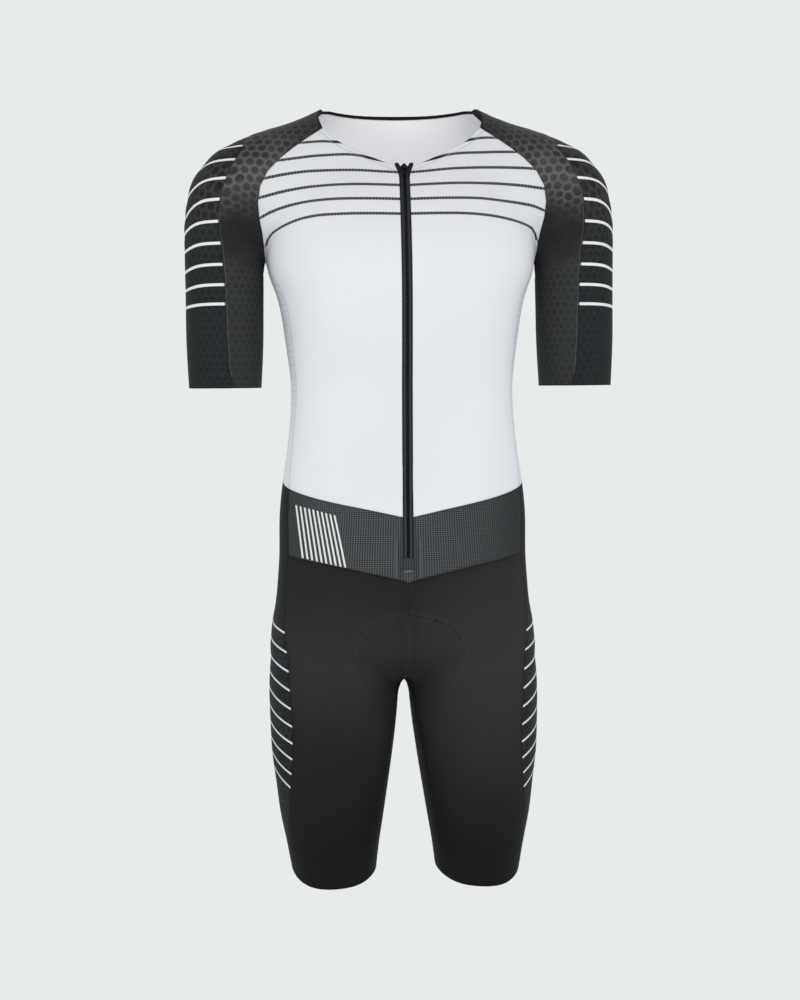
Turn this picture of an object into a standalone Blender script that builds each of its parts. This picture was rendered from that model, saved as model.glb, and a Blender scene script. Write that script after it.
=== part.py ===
"""A short-sleeved triathlon suit, filled out as it is when it is worn.

Units are metres, +Z is up and the front faces -Y. Left is the wearer's left, +X.
The origin is the point between the shoulders, level with the two neck points.

One form stands for the figure that fills the suit: a torso and two legs, lofted from
tables of sections, and two arms, each a chain of round links. Every cloth panel is a
grid spread between its own seams on that form, and its wall goes inwards from there.
Two panels that are sewn together share the points of their seam.
"""

import math

import bmesh
import bpy
import numpy as np
from mathutils import Matrix

CLOTH = 0.0012          # wall of every cloth panel
SEAM_GAP = 0.0003       # between two pieces that are sewn together
RING_STEPS = 72         # tries along a ray before its exit is closed in on

# Torso sections. Columns: height, half_width, half_depth, centre_y, squareness
TORSO = np.array([
    (0.060, 0.0550, 0.050, 0.018, 2.0),
    (0.020, 0.0660, 0.052, 0.016, 2.0),
    (-0.015, 0.0860, 0.060, 0.012, 2.1),
    (-0.060, 0.1240, 0.082, 0.005, 2.2),
    (-0.110, 0.1520, 0.102, 0.000, 2.3),
    (-0.160, 0.1600, 0.114, -0.004, 2.4),
    (-0.191, 0.1580, 0.118, -0.006, 2.4),
    (-0.227, 0.1465, 0.118, -0.007, 2.4),
    (-0.281, 0.1375, 0.112, -0.007, 2.4),
    (-0.335, 0.1320, 0.104, -0.007, 2.4),
    (-0.371, 0.1335, 0.101, -0.007, 2.4),
    (-0.407, 0.1375, 0.100, -0.006, 2.4),
    (-0.443, 0.1430, 0.101, -0.004, 2.4),
    (-0.479, 0.1468, 0.104, -0.001, 2.4),
    (-0.533, 0.1480, 0.110, 0.006, 2.4),
    (-0.587, 0.1515, 0.115, 0.012, 2.4),
    (-0.623, 0.1520, 0.114, 0.014, 2.4),
    (-0.650, 0.1420, 0.100, 0.012, 2.3),
    (-0.672, 0.1050, 0.066, 0.008, 2.0),
    (-0.684, 0.0500, 0.030, 0.004, 2.0),
    (-0.690, 0.0100, 0.008, 0.002, 2.0),
])
TORSO_END = -0.690

# Leg sections. Columns: height, centre_x, centre_y, half_width, half_depth
LEG = np.array([
    (-0.560, 0.0760, 0.012, 0.0500, 0.070),
    (-0.587, 0.0770, 0.015, 0.0620, 0.092),
    (-0.623, 0.0790, 0.014, 0.0735, 0.105),
    (-0.659, 0.0815, 0.011, 0.0780, 0.103),
    (-0.695, 0.0838, 0.007, 0.0777, 0.096),
    (-0.731, 0.0852, 0.003, 0.0755, 0.089),
    (-0.767, 0.0867, 0.000, 0.0722, 0.083),
    (-0.803, 0.0870, -0.003, 0.0672, 0.077),
    (-0.839, 0.0875, -0.005, 0.0620, 0.071),
    (-0.875, 0.0870, -0.007, 0.0553, 0.066),
    (-0.911, 0.0860, -0.008, 0.0500, 0.062),
    (-0.960, 0.0850, -0.009, 0.0460, 0.058),
])
LEG_TOP = -0.562

# Arm links, from inside the shoulder to below the hem. Columns: centre_x, height, radius
ARM = np.array([
    (0.0400, -0.043, 0.0460),
    (0.0810, -0.053, 0.0495),
    (0.1200, -0.068, 0.0525),
    (0.1600, -0.084, 0.0555),
    (0.1920, -0.105, 0.0575),
    (0.2035, -0.134, 0.0525),
    (0.2090, -0.172, 0.0475),
    (0.2097, -0.220, 0.0465),
    (0.2097, -0.280, 0.0457),
    (0.2100, -0.336, 0.0430),
    (0.2100, -0.400, 0.0410),
])
ARM_LINKS = 28
ARM_Y = 0.006           # the arm's axis lies this far behind the torso's
ARM_DEPTH = 1.14        # front to back over side to side

# How softly the limbs join the torso. Columns: height, radius of the join
HIP_JOIN = np.array([(-0.700, 0.010), (-0.650, 0.020)])
ARM_JOIN = np.array([(-0.180, 0.006), (-0.110, 0.036)])

# Raglan seams, from the neck to the fold of the armpit and on to the underarm point.
# Columns: x, y, height
RAGLAN_FRONT = np.array([
    (0.0925, -0.0455, -0.0273),
    (0.1168, -0.0500, -0.0430),
    (0.1466, -0.0560, -0.0668),
    (0.1630, -0.0585, -0.0865),
    (0.1688, -0.0580, -0.1080),
    (0.1682, -0.0500, -0.1300),
    (0.1645, -0.0370, -0.1490),
    (0.1625, -0.0250, -0.1640),
])
RAGLAN_BACK = np.array([
    (0.0870, 0.0250, -0.0035),
    (0.1150, 0.0420, -0.0270),
    (0.1450, 0.0540, -0.0560),
    (0.1620, 0.0580, -0.0850),
    (0.1670, 0.0570, -0.1100),
    (0.1660, 0.0500, -0.1330),
    (0.1620, 0.0410, -0.1500),
    (0.1595, 0.0300, -0.1652),
])
RAGLAN_ROWS = 9         # below the neck band

# Fold under the arm, from the front raglan seam to the back one. Columns: x, y, height
UNDERARM = np.array([
    (0.1625, -0.0250, -0.1640),
    (0.1620, -0.0150, -0.1740),
    (0.1610, -0.0050, -0.1797),
    (0.1605, 0.0035, -0.1826),
    (0.1605, 0.0120, -0.1797),
    (0.1600, 0.0210, -0.1745),
    (0.1595, 0.0300, -0.1652),
])
UNDERARM_ROWS = 3       # from each raglan seam to the middle of the fold

# The sleeve's outermost line, from the neck point over the shoulder. Columns: x, height
SHOULDER_LINE = np.array([
    (0.0960, -0.0045),
    (0.1200, -0.0125),
    (0.1550, -0.0220),
    (0.1850, -0.0340),
    (0.2160, -0.0480),
    (0.2400, -0.0750),
    (0.2520, -0.1100),
    (0.2560, -0.1500),
    (0.2560, -0.1880),
])

# Side seams, from the armpit to the hem. Columns: x, y, height
SIDE_FRONT = np.array([
    (0.1625, -0.0250, -0.1640),
    (0.1575, -0.0300, -0.1800),
    (0.1540, -0.0350, -0.1960),
    (0.1440, -0.0520, -0.2150),
    (0.1350, -0.0563, -0.2428),
    (0.1300, -0.0510, -0.2850),
    (0.1262, -0.0470, -0.3290),
    (0.1290, -0.0415, -0.3700),
    (0.1340, -0.0420, -0.4170),
    (0.1358, -0.0465, -0.4505),
    (0.1374, -0.0475, -0.4870),
    (0.1372, -0.0461, -0.5285),
    (0.1425, -0.0385, -0.5750),
    (0.1436, -0.0443, -0.6041),
    (0.1405, -0.0565, -0.6500),
    (0.1372, -0.0625, -0.7100),
    (0.1358, -0.0615, -0.7600),
    (0.1388, -0.0510, -0.8080),
    (0.1393, -0.0380, -0.8560),
])
SIDE_BACK = np.array([
    (0.1595, 0.0300, -0.1652),
    (0.1555, 0.0350, -0.1830),
    (0.1500, 0.0400, -0.2060),
    (0.1330, 0.0440, -0.2650),
    (0.1240, 0.0400, -0.3300),
    (0.1280, 0.0380, -0.3900),
    (0.1370, 0.0420, -0.4505),
    (0.1380, 0.0520, -0.5285),
    (0.1440, 0.0600, -0.6040),
    (0.1450, 0.0600, -0.6700),
    (0.1420, 0.0540, -0.7400),
    (0.1390, 0.0450, -0.8080),
    (0.1360, 0.0350, -0.8560),
])
BELT_SIDE_TOP = -0.4505
BELT_SIDE_BOTTOM = -0.5285
ARMPIT = -0.1650
SIDE_ROWS = 11          # from the armpit to the belt
BELT_ROWS = 3
LEG_MIDDLE_ROWS = 8     # from the belt's tip to the crotch
LEG_INNER_ROWS = 10     # from the crotch to the hem

# Line at the waist where the side panel turns dark. Columns: x, y, height
WAIST_SIDE = np.array([
    (0.1358, -0.0465, -0.4505),
    (0.1440, 0.0000, -0.4430),
    (0.1370, 0.0420, -0.4505),
])

# Seams round the torso, from the middle to the side seam. Columns: x, y, height
NECK_FRONT = np.array([
    (0.0068, -0.0864, -0.0772),
    (0.0240, -0.0818, -0.0700),
    (0.0400, -0.0759, -0.0626),
    (0.0560, -0.0693, -0.0545),
    (0.0740, -0.0612, -0.0450),
    (0.0925, -0.0455, -0.0273),
])
NECK_BACK = np.array([
    (0.0000, 0.0700, -0.0015),
    (0.0300, 0.0660, -0.0018),
    (0.0600, 0.0510, -0.0025),
    (0.0870, 0.0250, -0.0035),
])
FRONT_COLUMNS = 9
BACK_COLUMNS = 8        # of the half back
BELT_TOP = np.array([
    (0.0068, -0.1050, -0.4825),
    (0.0449, -0.1024, -0.4740),
    (0.0862, -0.0916, -0.4655),
    (0.1190, -0.0705, -0.4570),
    (0.1358, -0.0465, -0.4505),
])
BELT_BOTTOM = np.array([
    (0.0068, -0.1038, -0.5565),
    (0.0370, -0.1022, -0.5495),
    (0.0870, -0.0900, -0.5388),
    (0.1200, -0.0670, -0.5325),
    (0.1372, -0.0461, -0.5285),
])
WAIST_BACK = np.array([
    (0.0000, 0.0960, -0.4400),
    (0.0700, 0.0880, -0.4420),
    (0.1370, 0.0420, -0.4505),
])
BELT_BACK = np.array([
    (0.0000, 0.1160, -0.5200),
    (0.0700, 0.1080, -0.5220),
    (0.1380, 0.0520, -0.5285),
])

# Middle seams of the shorts and the seams of the inner legs. Columns: x, y, height
SHORTS_FRONT = np.array([
    (0.0000, -0.1038, -0.5590),
    (0.0000, -0.1030, -0.6000),
    (0.0000, -0.0960, -0.6350),
    (0.0000, -0.0780, -0.6600),
    (0.0000, -0.0500, -0.6750),
    (0.0000, -0.0215, -0.6865),
])
SHORTS_BACK = np.array([
    (0.0000, 0.1160, -0.5200),
    (0.0000, 0.1250, -0.5650),
    (0.0000, 0.1280, -0.6050),
    (0.0000, 0.1150, -0.6430),
    (0.0000, 0.0880, -0.6680),
    (0.0000, 0.0580, -0.6800),
    (0.0000, 0.0300, -0.6860),
])
INNER_FRONT = np.array([
    (0.0000, -0.0215, -0.6865),
    (0.0100, -0.0225, -0.7050),
    (0.0173, -0.0335, -0.7400),
    (0.0250, -0.0365, -0.7936),
    (0.0337, -0.0374, -0.8475),
])
INNER_BACK = np.array([
    (0.0000, 0.0300, -0.6860),
    (0.0100, 0.0330, -0.7050),
    (0.0180, 0.0370, -0.7400),
    (0.0240, 0.0360, -0.7936),
    (0.0320, 0.0330, -0.8475),
])

# Leg hem: its mean height, and how far the front, the whole wave and the outer front
# corner dip below it
HEM = -0.9085
HEM_DIP = 0.0090
HEM_WAVE = 0.0045
HEM_CORNER = 0.0035
# Where the leg's four seams reach the hem, as angles round the leg from its front
HEM_SIDE_FRONT = math.radians(72)
HEM_SIDE_BACK = math.radians(129)
HEM_INNER_FRONT = math.radians(-57)
HEM_INNER_BACK = math.radians(-128)
LEG_SIDE_COLUMNS = 4
LEG_INNER_COLUMNS = 4
SLEEVE_HEM = -0.3310

# Seam between the sleeve's front and outer panel. The one behind mirrors it.
# Columns: height, x
OUTER_SEAM = np.array([
    (-0.3320, 0.2000), (-0.3164, 0.2054), (-0.2912, 0.2075), (-0.2631, 0.2089),
    (-0.2315, 0.2093), (-0.1953, 0.2109), (-0.1685, 0.2129), (-0.1511, 0.2153),
    (-0.1333, 0.2167), (-0.1153, 0.2149), (-0.1002, 0.2118), (-0.0844, 0.2060),
    (-0.0633, 0.1955), (-0.0431, 0.1816), (-0.0333, 0.1748),
])
OUTER_TIP_ROW = 4       # the row of the sleeve where the outer panel starts
SLEEVE_RINGS = 7        # rows from the underarm to the sleeve's hem
SLEEVE_COLUMNS = 5      # of the front and of the back of the sleeve
OUTER_COLUMNS = 8
# Where a sleeve row's middle lies, from the body side (0) to the outermost line (1)
MIDDLE_AT_NECK = -0.8
MIDDLE_AT_UNDERARM = 0.5

NECK_BAND = 0.0055      # width of the turned hem at the front neckline
NECK_BINDING = 0.0045   # height of the back neck's binding

# Front zip. Half widths are from the middle line
ZIP_HALF = 0.0066       # half of the opening between the two fronts
TAPE_INNER = 0.0020
TAPE_WALL = 0.0009
ZIP_BOTTOM = -0.5300
TEETH_HALF = 0.0016
TEETH_TOP = -0.0755
TEETH_WALL = 0.0018
TEETH_PROUD = 0.0007    # how far the teeth stand out of the cloth's face
ZIP_ROWS = 24
TAPE_OUTER = 0.00645
# The tapes' top ends, turned out over the fronts and standing above the neckline.
# Columns: below the ends, inner half width, outer half width, lift of the inner face
EARS_ABOVE = 0.0049
EARS = np.array([
    (0.0000, 0.0064, 0.0108, 0.0008),
    (0.0045, 0.0056, 0.0092, 0.0008),
    (0.0090, 0.0049, 0.0074, 0.0008),
    (0.0112, 0.0049, 0.00645, 0.0008),
    (0.0140, 0.0020, 0.00645, -0.0009),
])

SLIDER_HEIGHT = -0.0785     # height of the slider's middle
SLIDER_LENGTH = 0.0100
SLIDER_TOP_HALF = 0.0044
SLIDER_TAIL_HALF = 0.0029
SLIDER_PLATE = 0.0013
SLIDER_CLEAR = 0.0003       # between the slider and the teeth
BRIDGE_HALF = 0.0009        # half width of the arch that holds the tab
BRIDGE_INNER = 0.0016
BRIDGE_OUTER = 0.0024
PIN_ABOVE = 0.0010          # the tab's pin above the slider's plate
TAB_LENGTH = 0.0145
TAB_HALF = 0.0025
TAB_WALL = 0.0010
WINDOW_HALF = 0.0013        # the tab's window, which the arch passes through
WINDOW_END = 0.0034

PAD_WALL = 0.0045       # the seat pad's thickness at its middle
PAD_EDGE = 0.0012       # and at its rim
# From the figure to the pad's outer face, row by row from the front to the back, in mm.
# Columns: on the middle line, at the rim
PAD_BEHIND = np.array([
    (1.9, 1.9), (2.4, 2.4), (6.0, 3.6), (8.4, 3.4), (8.4, 2.6), (8.2, 2.4), (8.0, 2.4),
    (7.8, 2.4), (7.6, 3.0), (7.0, 3.6), (5.4, 4.0), (4.6, 3.8), (4.4, 3.6),
])
# Seat pad: the middle line and the rim. Columns: x, y, height
PAD_MIDDLE = np.array([
    (0.0, -0.1025, -0.5970),
    (0.0, -0.0960, -0.6350),
    (0.0, -0.0780, -0.6600),
    (0.0, -0.0500, -0.6750),
    (0.0, 0.0000, -0.6900),
    (0.0, 0.0580, -0.6800),
    (0.0, 0.0880, -0.6680),
    (0.0, 0.1150, -0.6430),
    (0.0, 0.1280, -0.6120),
])
PAD_RIM = np.array([
    (0.0230, -0.1020, -0.6010),
    (0.0560, -0.0985, -0.6190),
    (0.0655, -0.0950, -0.6450),
    (0.0610, -0.0870, -0.6780),
    (0.0120, 0.0000, -0.7380),
    (0.0600, 0.0880, -0.7050),
    (0.0820, 0.1080, -0.6700),
    (0.0760, 0.1200, -0.6350),
    (0.0300, 0.1290, -0.6150),
])


def smooth_rows(table, where):
    """Read a table, whose first column rises, along a smooth curve through its rows."""
    knots, rows = table[:, 0], table[:, 1:]
    slope = np.gradient(rows, knots, axis=0)
    at = np.clip(where, knots[0], knots[-1])
    row = np.clip(np.searchsorted(knots, at, side="right") - 1, 0, len(knots) - 2)
    span = knots[row + 1] - knots[row]
    t = ((at - knots[row]) / span)[..., None]
    span = span[..., None]
    return ((2 * t**3 - 3 * t**2 + 1) * rows[row] + (t**3 - 2 * t**2 + t) * span * slope[row]
            + (3 * t**2 - 2 * t**3) * rows[row + 1] + (t**3 - t**2) * span * slope[row + 1])


def along(points, count):
    """Smooth curve through a few points, as a number of points evenly apart."""
    points = np.asarray(points, float)
    steps = np.linalg.norm(np.diff(points, axis=0), axis=1)
    length = np.concatenate([[0.0], np.cumsum(steps)])
    fine = smooth_rows(np.column_stack([length, points]), np.linspace(0, length[-1], 400))
    walked = np.concatenate([[0.0], np.cumsum(np.linalg.norm(np.diff(fine, axis=0), axis=1))])
    goal = np.linspace(0, walked[-1], count)
    return np.column_stack([np.interp(goal, walked, fine[:, k]) for k in range(fine.shape[1])])


ARM_CHAIN = along(ARM, ARM_LINKS)
TORSO_UP = TORSO[::-1]
LEG_UP = LEG[::-1]


def joined(a, b, radius):
    """Two forms as one, with a soft join of the given radius."""
    share = np.clip(0.5 + 0.5 * (b - a) / radius, 0, 1)
    return b * (1 - share) + a * share - radius * share * (1 - share)


def figure(points):
    """How far points lie outside the figure that fills the suit; negative is inside."""
    x, y, z = np.abs(points[..., 0]), points[..., 1], points[..., 2]
    width, depth, middle, power = np.moveaxis(smooth_rows(TORSO_UP, z), -1, 0)
    round_torso = ((x / width)**power + (np.abs(y - middle) / depth)**power + 1e-12)**(1 / power)
    torso = np.maximum((round_torso - 1) * np.minimum(width, depth), TORSO_END - z)
    leg_x, leg_y, width, depth = np.moveaxis(smooth_rows(LEG_UP, z), -1, 0)
    round_leg = np.sqrt(((x - leg_x) / width)**2 + ((y - leg_y) / depth)**2 + 1e-12)
    leg = np.maximum((round_leg - 1) * np.minimum(width, depth), z - LEG_TOP)
    arm = np.full(x.shape, 1.0)
    for (ax, az, ar), (bx, bz, br) in zip(ARM_CHAIN[:-1], ARM_CHAIN[1:]):
        dx, dz = bx - ax, bz - az
        t = np.clip(((x - ax) * dx + (z - az) * dz) / (dx * dx + dz * dz), 0, 1)
        off = np.sqrt((x - ax - t * dx)**2 + (z - az - t * dz)**2 + ((y - ARM_Y) / ARM_DEPTH)**2)
        arm = np.minimum(arm, off - ar - t * (br - ar))
    body = joined(torso, leg, np.interp(z, HIP_JOIN[:, 0], HIP_JOIN[:, 1]))
    return joined(body, arm, np.interp(z, ARM_JOIN[:, 0], ARM_JOIN[:, 1]))


def slope_of(points, step=0.0004):
    """Gradient of the figure's form at each point."""
    sides = []
    for axis in range(3):
        move = np.zeros(3)
        move[axis] = step
        sides.append((figure(points + move) - figure(points - move)) / (2 * step))
    return np.stack(sides, -1)


def outward(points, step=0.0004):
    """Unit normals of the figure; a longer step evens them out where it turns sharply."""
    slope = slope_of(points, step)
    return slope / np.linalg.norm(slope, axis=-1, keepdims=True)


def settle(points, rounds=5):
    """Move points that lie near the figure onto it."""
    points = np.array(points, float)
    for _ in range(rounds):
        slope = slope_of(points)
        size = np.maximum((slope**2).sum(-1), 0.05)
        points = points - slope * (figure(points) / size)[..., None]
    return points


def first_exit(start, heading, reach=0.32):
    """Where rays from inside the figure first come out of it."""
    start = np.broadcast_to(start, heading.shape)
    tries = np.linspace(0, reach, RING_STEPS)
    outside = figure(start[..., None, :] + heading[..., None, :] * tries[:, None]) > 0
    crossing = np.clip(np.argmax(outside, axis=-1), 1, RING_STEPS - 1)
    near, far = tries[crossing - 1], tries[crossing]
    for _ in range(18):
        middle = (near + far) / 2
        out = figure(start + heading * middle[..., None]) > 0
        far = np.where(out, middle, far)
        near = np.where(out, near, middle)
    return start + heading * ((near + far) / 2)[..., None]


def torso_axis(height):
    """Middle of the torso at each height."""
    return np.zeros_like(height), smooth_rows(TORSO_UP, height)[..., 2]


def leg_axis(height):
    """Middle of the left leg at each height."""
    row = smooth_rows(LEG_UP, height)
    return row[..., 0], row[..., 1]


def spread(left, right, bottom, top, axis, facing):
    """Panel between four seams: a grid of points on the figure.

    The seams are written as an angle round an axis and a height, the grid is blended
    between them there, and each inner point is where its level ray leaves the figure.
    """
    rows, columns = len(left), len(bottom)

    def chart(points):
        middle_x, middle_y = axis(points[..., 2])
        angle = np.arctan2(points[..., 0] - middle_x, middle_y - points[..., 1]) - facing
        angle = (angle + math.pi) % (2 * math.pi) - math.pi
        return np.stack([angle, points[..., 2]], -1)

    v = np.linspace(0, 1, rows)[:, None, None]
    u = np.linspace(0, 1, columns)[None, :, None]
    sides = (1 - u) * chart(left)[:, None] + u * chart(right)[:, None]
    ends = (1 - v) * chart(bottom)[None] + v * chart(top)[None]
    corners = chart(np.array([bottom[0], bottom[-1], top[0], top[-1]]))
    flat = ((1 - v) * ((1 - u) * corners[0] + u * corners[1])
            + v * ((1 - u) * corners[2] + u * corners[3]))
    place = sides + ends - flat
    angle, height = place[..., 0] + facing, place[..., 1]
    middle_x, middle_y = axis(height)
    start = np.stack([middle_x, middle_y, height], -1)
    heading = np.stack([np.sin(angle), -np.cos(angle), np.zeros_like(angle)], -1)
    grid = first_exit(start, heading)
    grid[:, 0], grid[:, -1] = left, right
    grid[0], grid[-1] = bottom, top
    return grid


def drawn_in(grid, gap=SEAM_GAP):
    """The same grid with its four edges drawn in by half of a seam's gap."""
    moved = grid.copy()
    normals = outward(grid)
    for quarter in range(4):
        still, turned = np.rot90(grid, quarter), np.rot90(moved, quarter)
        run = np.gradient(still[0], axis=0)
        across = np.cross(run, np.rot90(normals, quarter)[0])
        across /= np.maximum(np.linalg.norm(across, axis=1, keepdims=True), 1e-9)
        inward = (across * (still[1] - still[0])).sum(1, keepdims=True)
        turned[0] += across * np.sign(inward) * np.minimum(gap / 2, np.abs(inward) / 3)
    return moved


def material(name, colour, roughness, metallic=0.0):
    """Plain Principled material."""
    made = bpy.data.materials.new(name)
    made.use_nodes = True
    shader = made.node_tree.nodes["Principled BSDF"]
    shader.inputs["Base Color"].default_value = (*colour, 1)
    shader.inputs["Roughness"].default_value = roughness
    shader.inputs["Metallic"].default_value = metallic
    return made


def add_mesh(name, bm, finish, home):
    """Turn a bmesh into a named object in a collection."""
    mesh = bpy.data.meshes.new(name)
    bm.to_mesh(mesh)
    bm.free()
    mesh.shade_smooth()
    mesh.set_sharp_from_angle(angle=math.radians(50))
    mesh.materials.append(finish)
    piece = bpy.data.objects.new(name, mesh)
    home.objects.link(piece)
    return piece


def wall(name, grid, finish, thickness=CLOTH, lift=0.0):
    """Closed wall on a grid of points: lift moves it out, its thickness goes inwards.

    Both may be a number or a grid of numbers.
    """
    rows, columns = grid.shape[:2]
    thickness = np.broadcast_to(thickness, (rows, columns))
    lift = np.broadcast_to(lift, (rows, columns))
    normals = outward(grid, step=0.003)
    outer = grid + normals * lift[..., None]
    inner = grid + normals * (lift - thickness)[..., None]
    bm = bmesh.new()
    bmesh.ops.create_grid(bm, x_segments=columns - 1, y_segments=rows - 1, size=0.5)
    cell = {}
    for vert in bm.verts:
        cell[vert] = (round((vert.co.y + 0.5) * (rows - 1)), round((vert.co.x + 0.5) * (columns - 1)))
    grown = bmesh.ops.extrude_face_region(bm, geom=bm.faces[:], use_keep_orig=True)
    copies = [item for item in grown["geom"] if isinstance(item, bmesh.types.BMVert)]
    for vert in copies:
        place = (round((vert.co.y + 0.5) * (rows - 1)), round((vert.co.x + 0.5) * (columns - 1)))
        vert.co = inner[place]
    for vert, place in cell.items():
        vert.co = outer[place]
    bmesh.ops.remove_doubles(bm, verts=bm.verts, dist=1e-6)
    bmesh.ops.recalc_face_normals(bm, faces=bm.faces)
    bmesh.ops.triangulate(bm, faces=bm.faces, quad_method="SHORT_EDGE")
    return add_mesh(name, bm, finish, SUIT)


def mirrored(grid):
    """The same grid on the other side of the body."""
    return grid * np.array([-1.0, 1.0, 1.0])


def both_sides(name, grid, finish):
    """A left piece and its mirrored right one."""
    wall(f"{name}_left", grid, finish)
    wall(f"{name}_right", mirrored(grid), finish)


def whole(half):
    """Full-width grid from a half whose first column lies on the middle line."""
    return np.concatenate([mirrored(half)[:, :0:-1], half], axis=1)


def seam_between(table, high, low, count):
    """Part of a seam that falls all the way, between two heights, on the figure."""
    curve = along(table, 200)[::-1]
    heights = np.linspace(high, low, count)
    place = [np.interp(heights, curve[:, 2], curve[:, k]) for k in range(2)]
    return settle(np.column_stack([*place, heights]))


def middle_line(x, high, low, count):
    """Line down the front of the torso, a small way beside its middle."""
    heights = np.linspace(high, low, count)
    middle_x, middle_y = torso_axis(heights)
    start = np.column_stack([middle_x + x, middle_y, heights])
    return first_exit(start, np.tile((0.0, -1.0, 0.0), (count, 1)))


def raglan_seam(table, first_step):
    """Raglan seam from the neck to the armpit; its first step is as wide as the neck's edge."""
    curve = along(table, 300)
    walked = np.concatenate([[0.0], np.cumsum(np.linalg.norm(np.diff(curve, axis=0), axis=1))])
    goal = np.concatenate([[0.0], np.linspace(first_step, walked[-1], RAGLAN_ROWS + 1)])
    return settle(np.column_stack([np.interp(goal, walked, curve[:, k]) for k in range(3)]))


def hem_point(angle):
    """Point of the leg's hem at an angle round the leg from its front."""
    corner = np.where((angle > 0) & (angle < math.pi / 2), np.sin(2 * angle), 0.0)
    height = (HEM - HEM_DIP * np.cos(angle) - HEM_WAVE * np.cos(2 * angle)
              - HEM_CORNER * corner)
    middle_x, middle_y = leg_axis(height)
    start = np.stack([middle_x, middle_y, height], -1)
    return first_exit(start, np.stack([np.sin(angle), -np.cos(angle), np.zeros_like(angle)], -1))


def below_neck(neck, first, last):
    """Lower line of a strip along the neckline, from the points where its two ends stop."""
    share = np.linspace(0, 1, len(neck))[:, None]
    line = settle(neck + (1 - share) * (first - neck[0]) + share * (last - neck[-1]))
    line[0], line[-1] = first, last
    return line


def to_hem(table, angle, high, count):
    """Seam that falls from a height to the leg's hem."""
    end = hem_point(np.array(angle))
    return seam_between(np.vstack([table, end]), high, end[2], count)


def sleeve_rows(front, back):
    """Rows of the sleeve: for each its middle, its outward heading, its two end points."""
    line = along(SHOULDER_LINE, len(front))
    rows = []
    for i, (start, end, outermost) in enumerate(zip(front, back, line)):
        share = i / (len(front) - 1)
        body = (start + end) / 2
        out = np.array([outermost[0] - body[0], 0.0, outermost[1] - body[2]])
        middle = body + out * (MIDDLE_AT_NECK + share * (MIDDLE_AT_UNDERARM - MIDDLE_AT_NECK))
        middle[1] += share * (ARM_Y - body[1])
        rows.append((middle, out / np.linalg.norm(out), start, end))
    for height in np.linspace(front[-1][2], SLEEVE_HEM, SLEEVE_RINGS + 1)[1:]:
        middle = np.array([np.interp(-height, -ARM_CHAIN[:, 1], ARM_CHAIN[:, 0]), ARM_Y, height])
        inside = first_exit(middle, np.array([-1.0, 0.0, 0.0]))
        rows.append((middle, np.array([1.0, 0.0, 0.0]), inside, inside))
    return rows


def sleeve_arc(row, shares):
    """Points of one sleeve row.

    A share of 1 is the row's front end, 0 its outermost point and -1 its back end.
    """
    middle, out, front, back = row
    forward = np.array([0.0, -1.0, 0.0])
    aside = np.cross(out, forward)
    turns, offsets = [], []
    for point in (front, back):
        turns.append(math.atan2((point - middle) @ forward, (point - middle) @ out))
        offsets.append((point - middle) @ aside)
    if turns[1] > 0:
        turns[1] -= 2 * math.pi
    shares = np.asarray(shares, float)
    turn = np.where(shares > 0, shares * turns[0], -shares * turns[1])
    offset = np.where(shares > 0, shares * offsets[0], -shares * offsets[1])
    heading = np.cos(turn)[:, None] * out + np.sin(turn)[:, None] * forward
    points = first_exit(middle + offset[:, None] * aside, heading)
    points[shares >= 1] = front
    points[shares <= -1] = back
    return points


def outer_share(row):
    """Share of a sleeve row at which it crosses the outer panel's front seam."""
    shares = np.linspace(0, 0.98, 120)
    arc = sleeve_arc(row, shares)
    beyond = arc[:, 0] > smooth_rows(OUTER_SEAM, arc[:, 2])[:, 0]
    return shares[np.argmin(beyond)] if beyond[0] else 0.0


def cut_sleeve(front, back):
    """Front, outer and back panel of the sleeve, as grids."""
    rows = sleeve_rows(front, back)
    splits = [0.0 if i <= OUTER_TIP_ROW else outer_share(row) for i, row in enumerate(rows)]
    front_grid = [sleeve_arc(row, np.linspace(1, split, SLEEVE_COLUMNS + 1))
                  for row, split in zip(rows, splits)]
    back_grid = [sleeve_arc(row, np.linspace(-split, -1, SLEEVE_COLUMNS + 1))
                 for row, split in zip(rows, splits)]
    outer_grid = [sleeve_arc(row, np.linspace(split, -split, OUTER_COLUMNS + 1))
                  for row, split in zip(rows[OUTER_TIP_ROW:], splits[OUTER_TIP_ROW:])]
    return np.array(front_grid), np.array(outer_grid), np.array(back_grid)


SUIT = bpy.data.collections.new("triathlon_suit")
TOOLS = bpy.data.collections.new("cutters")


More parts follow.
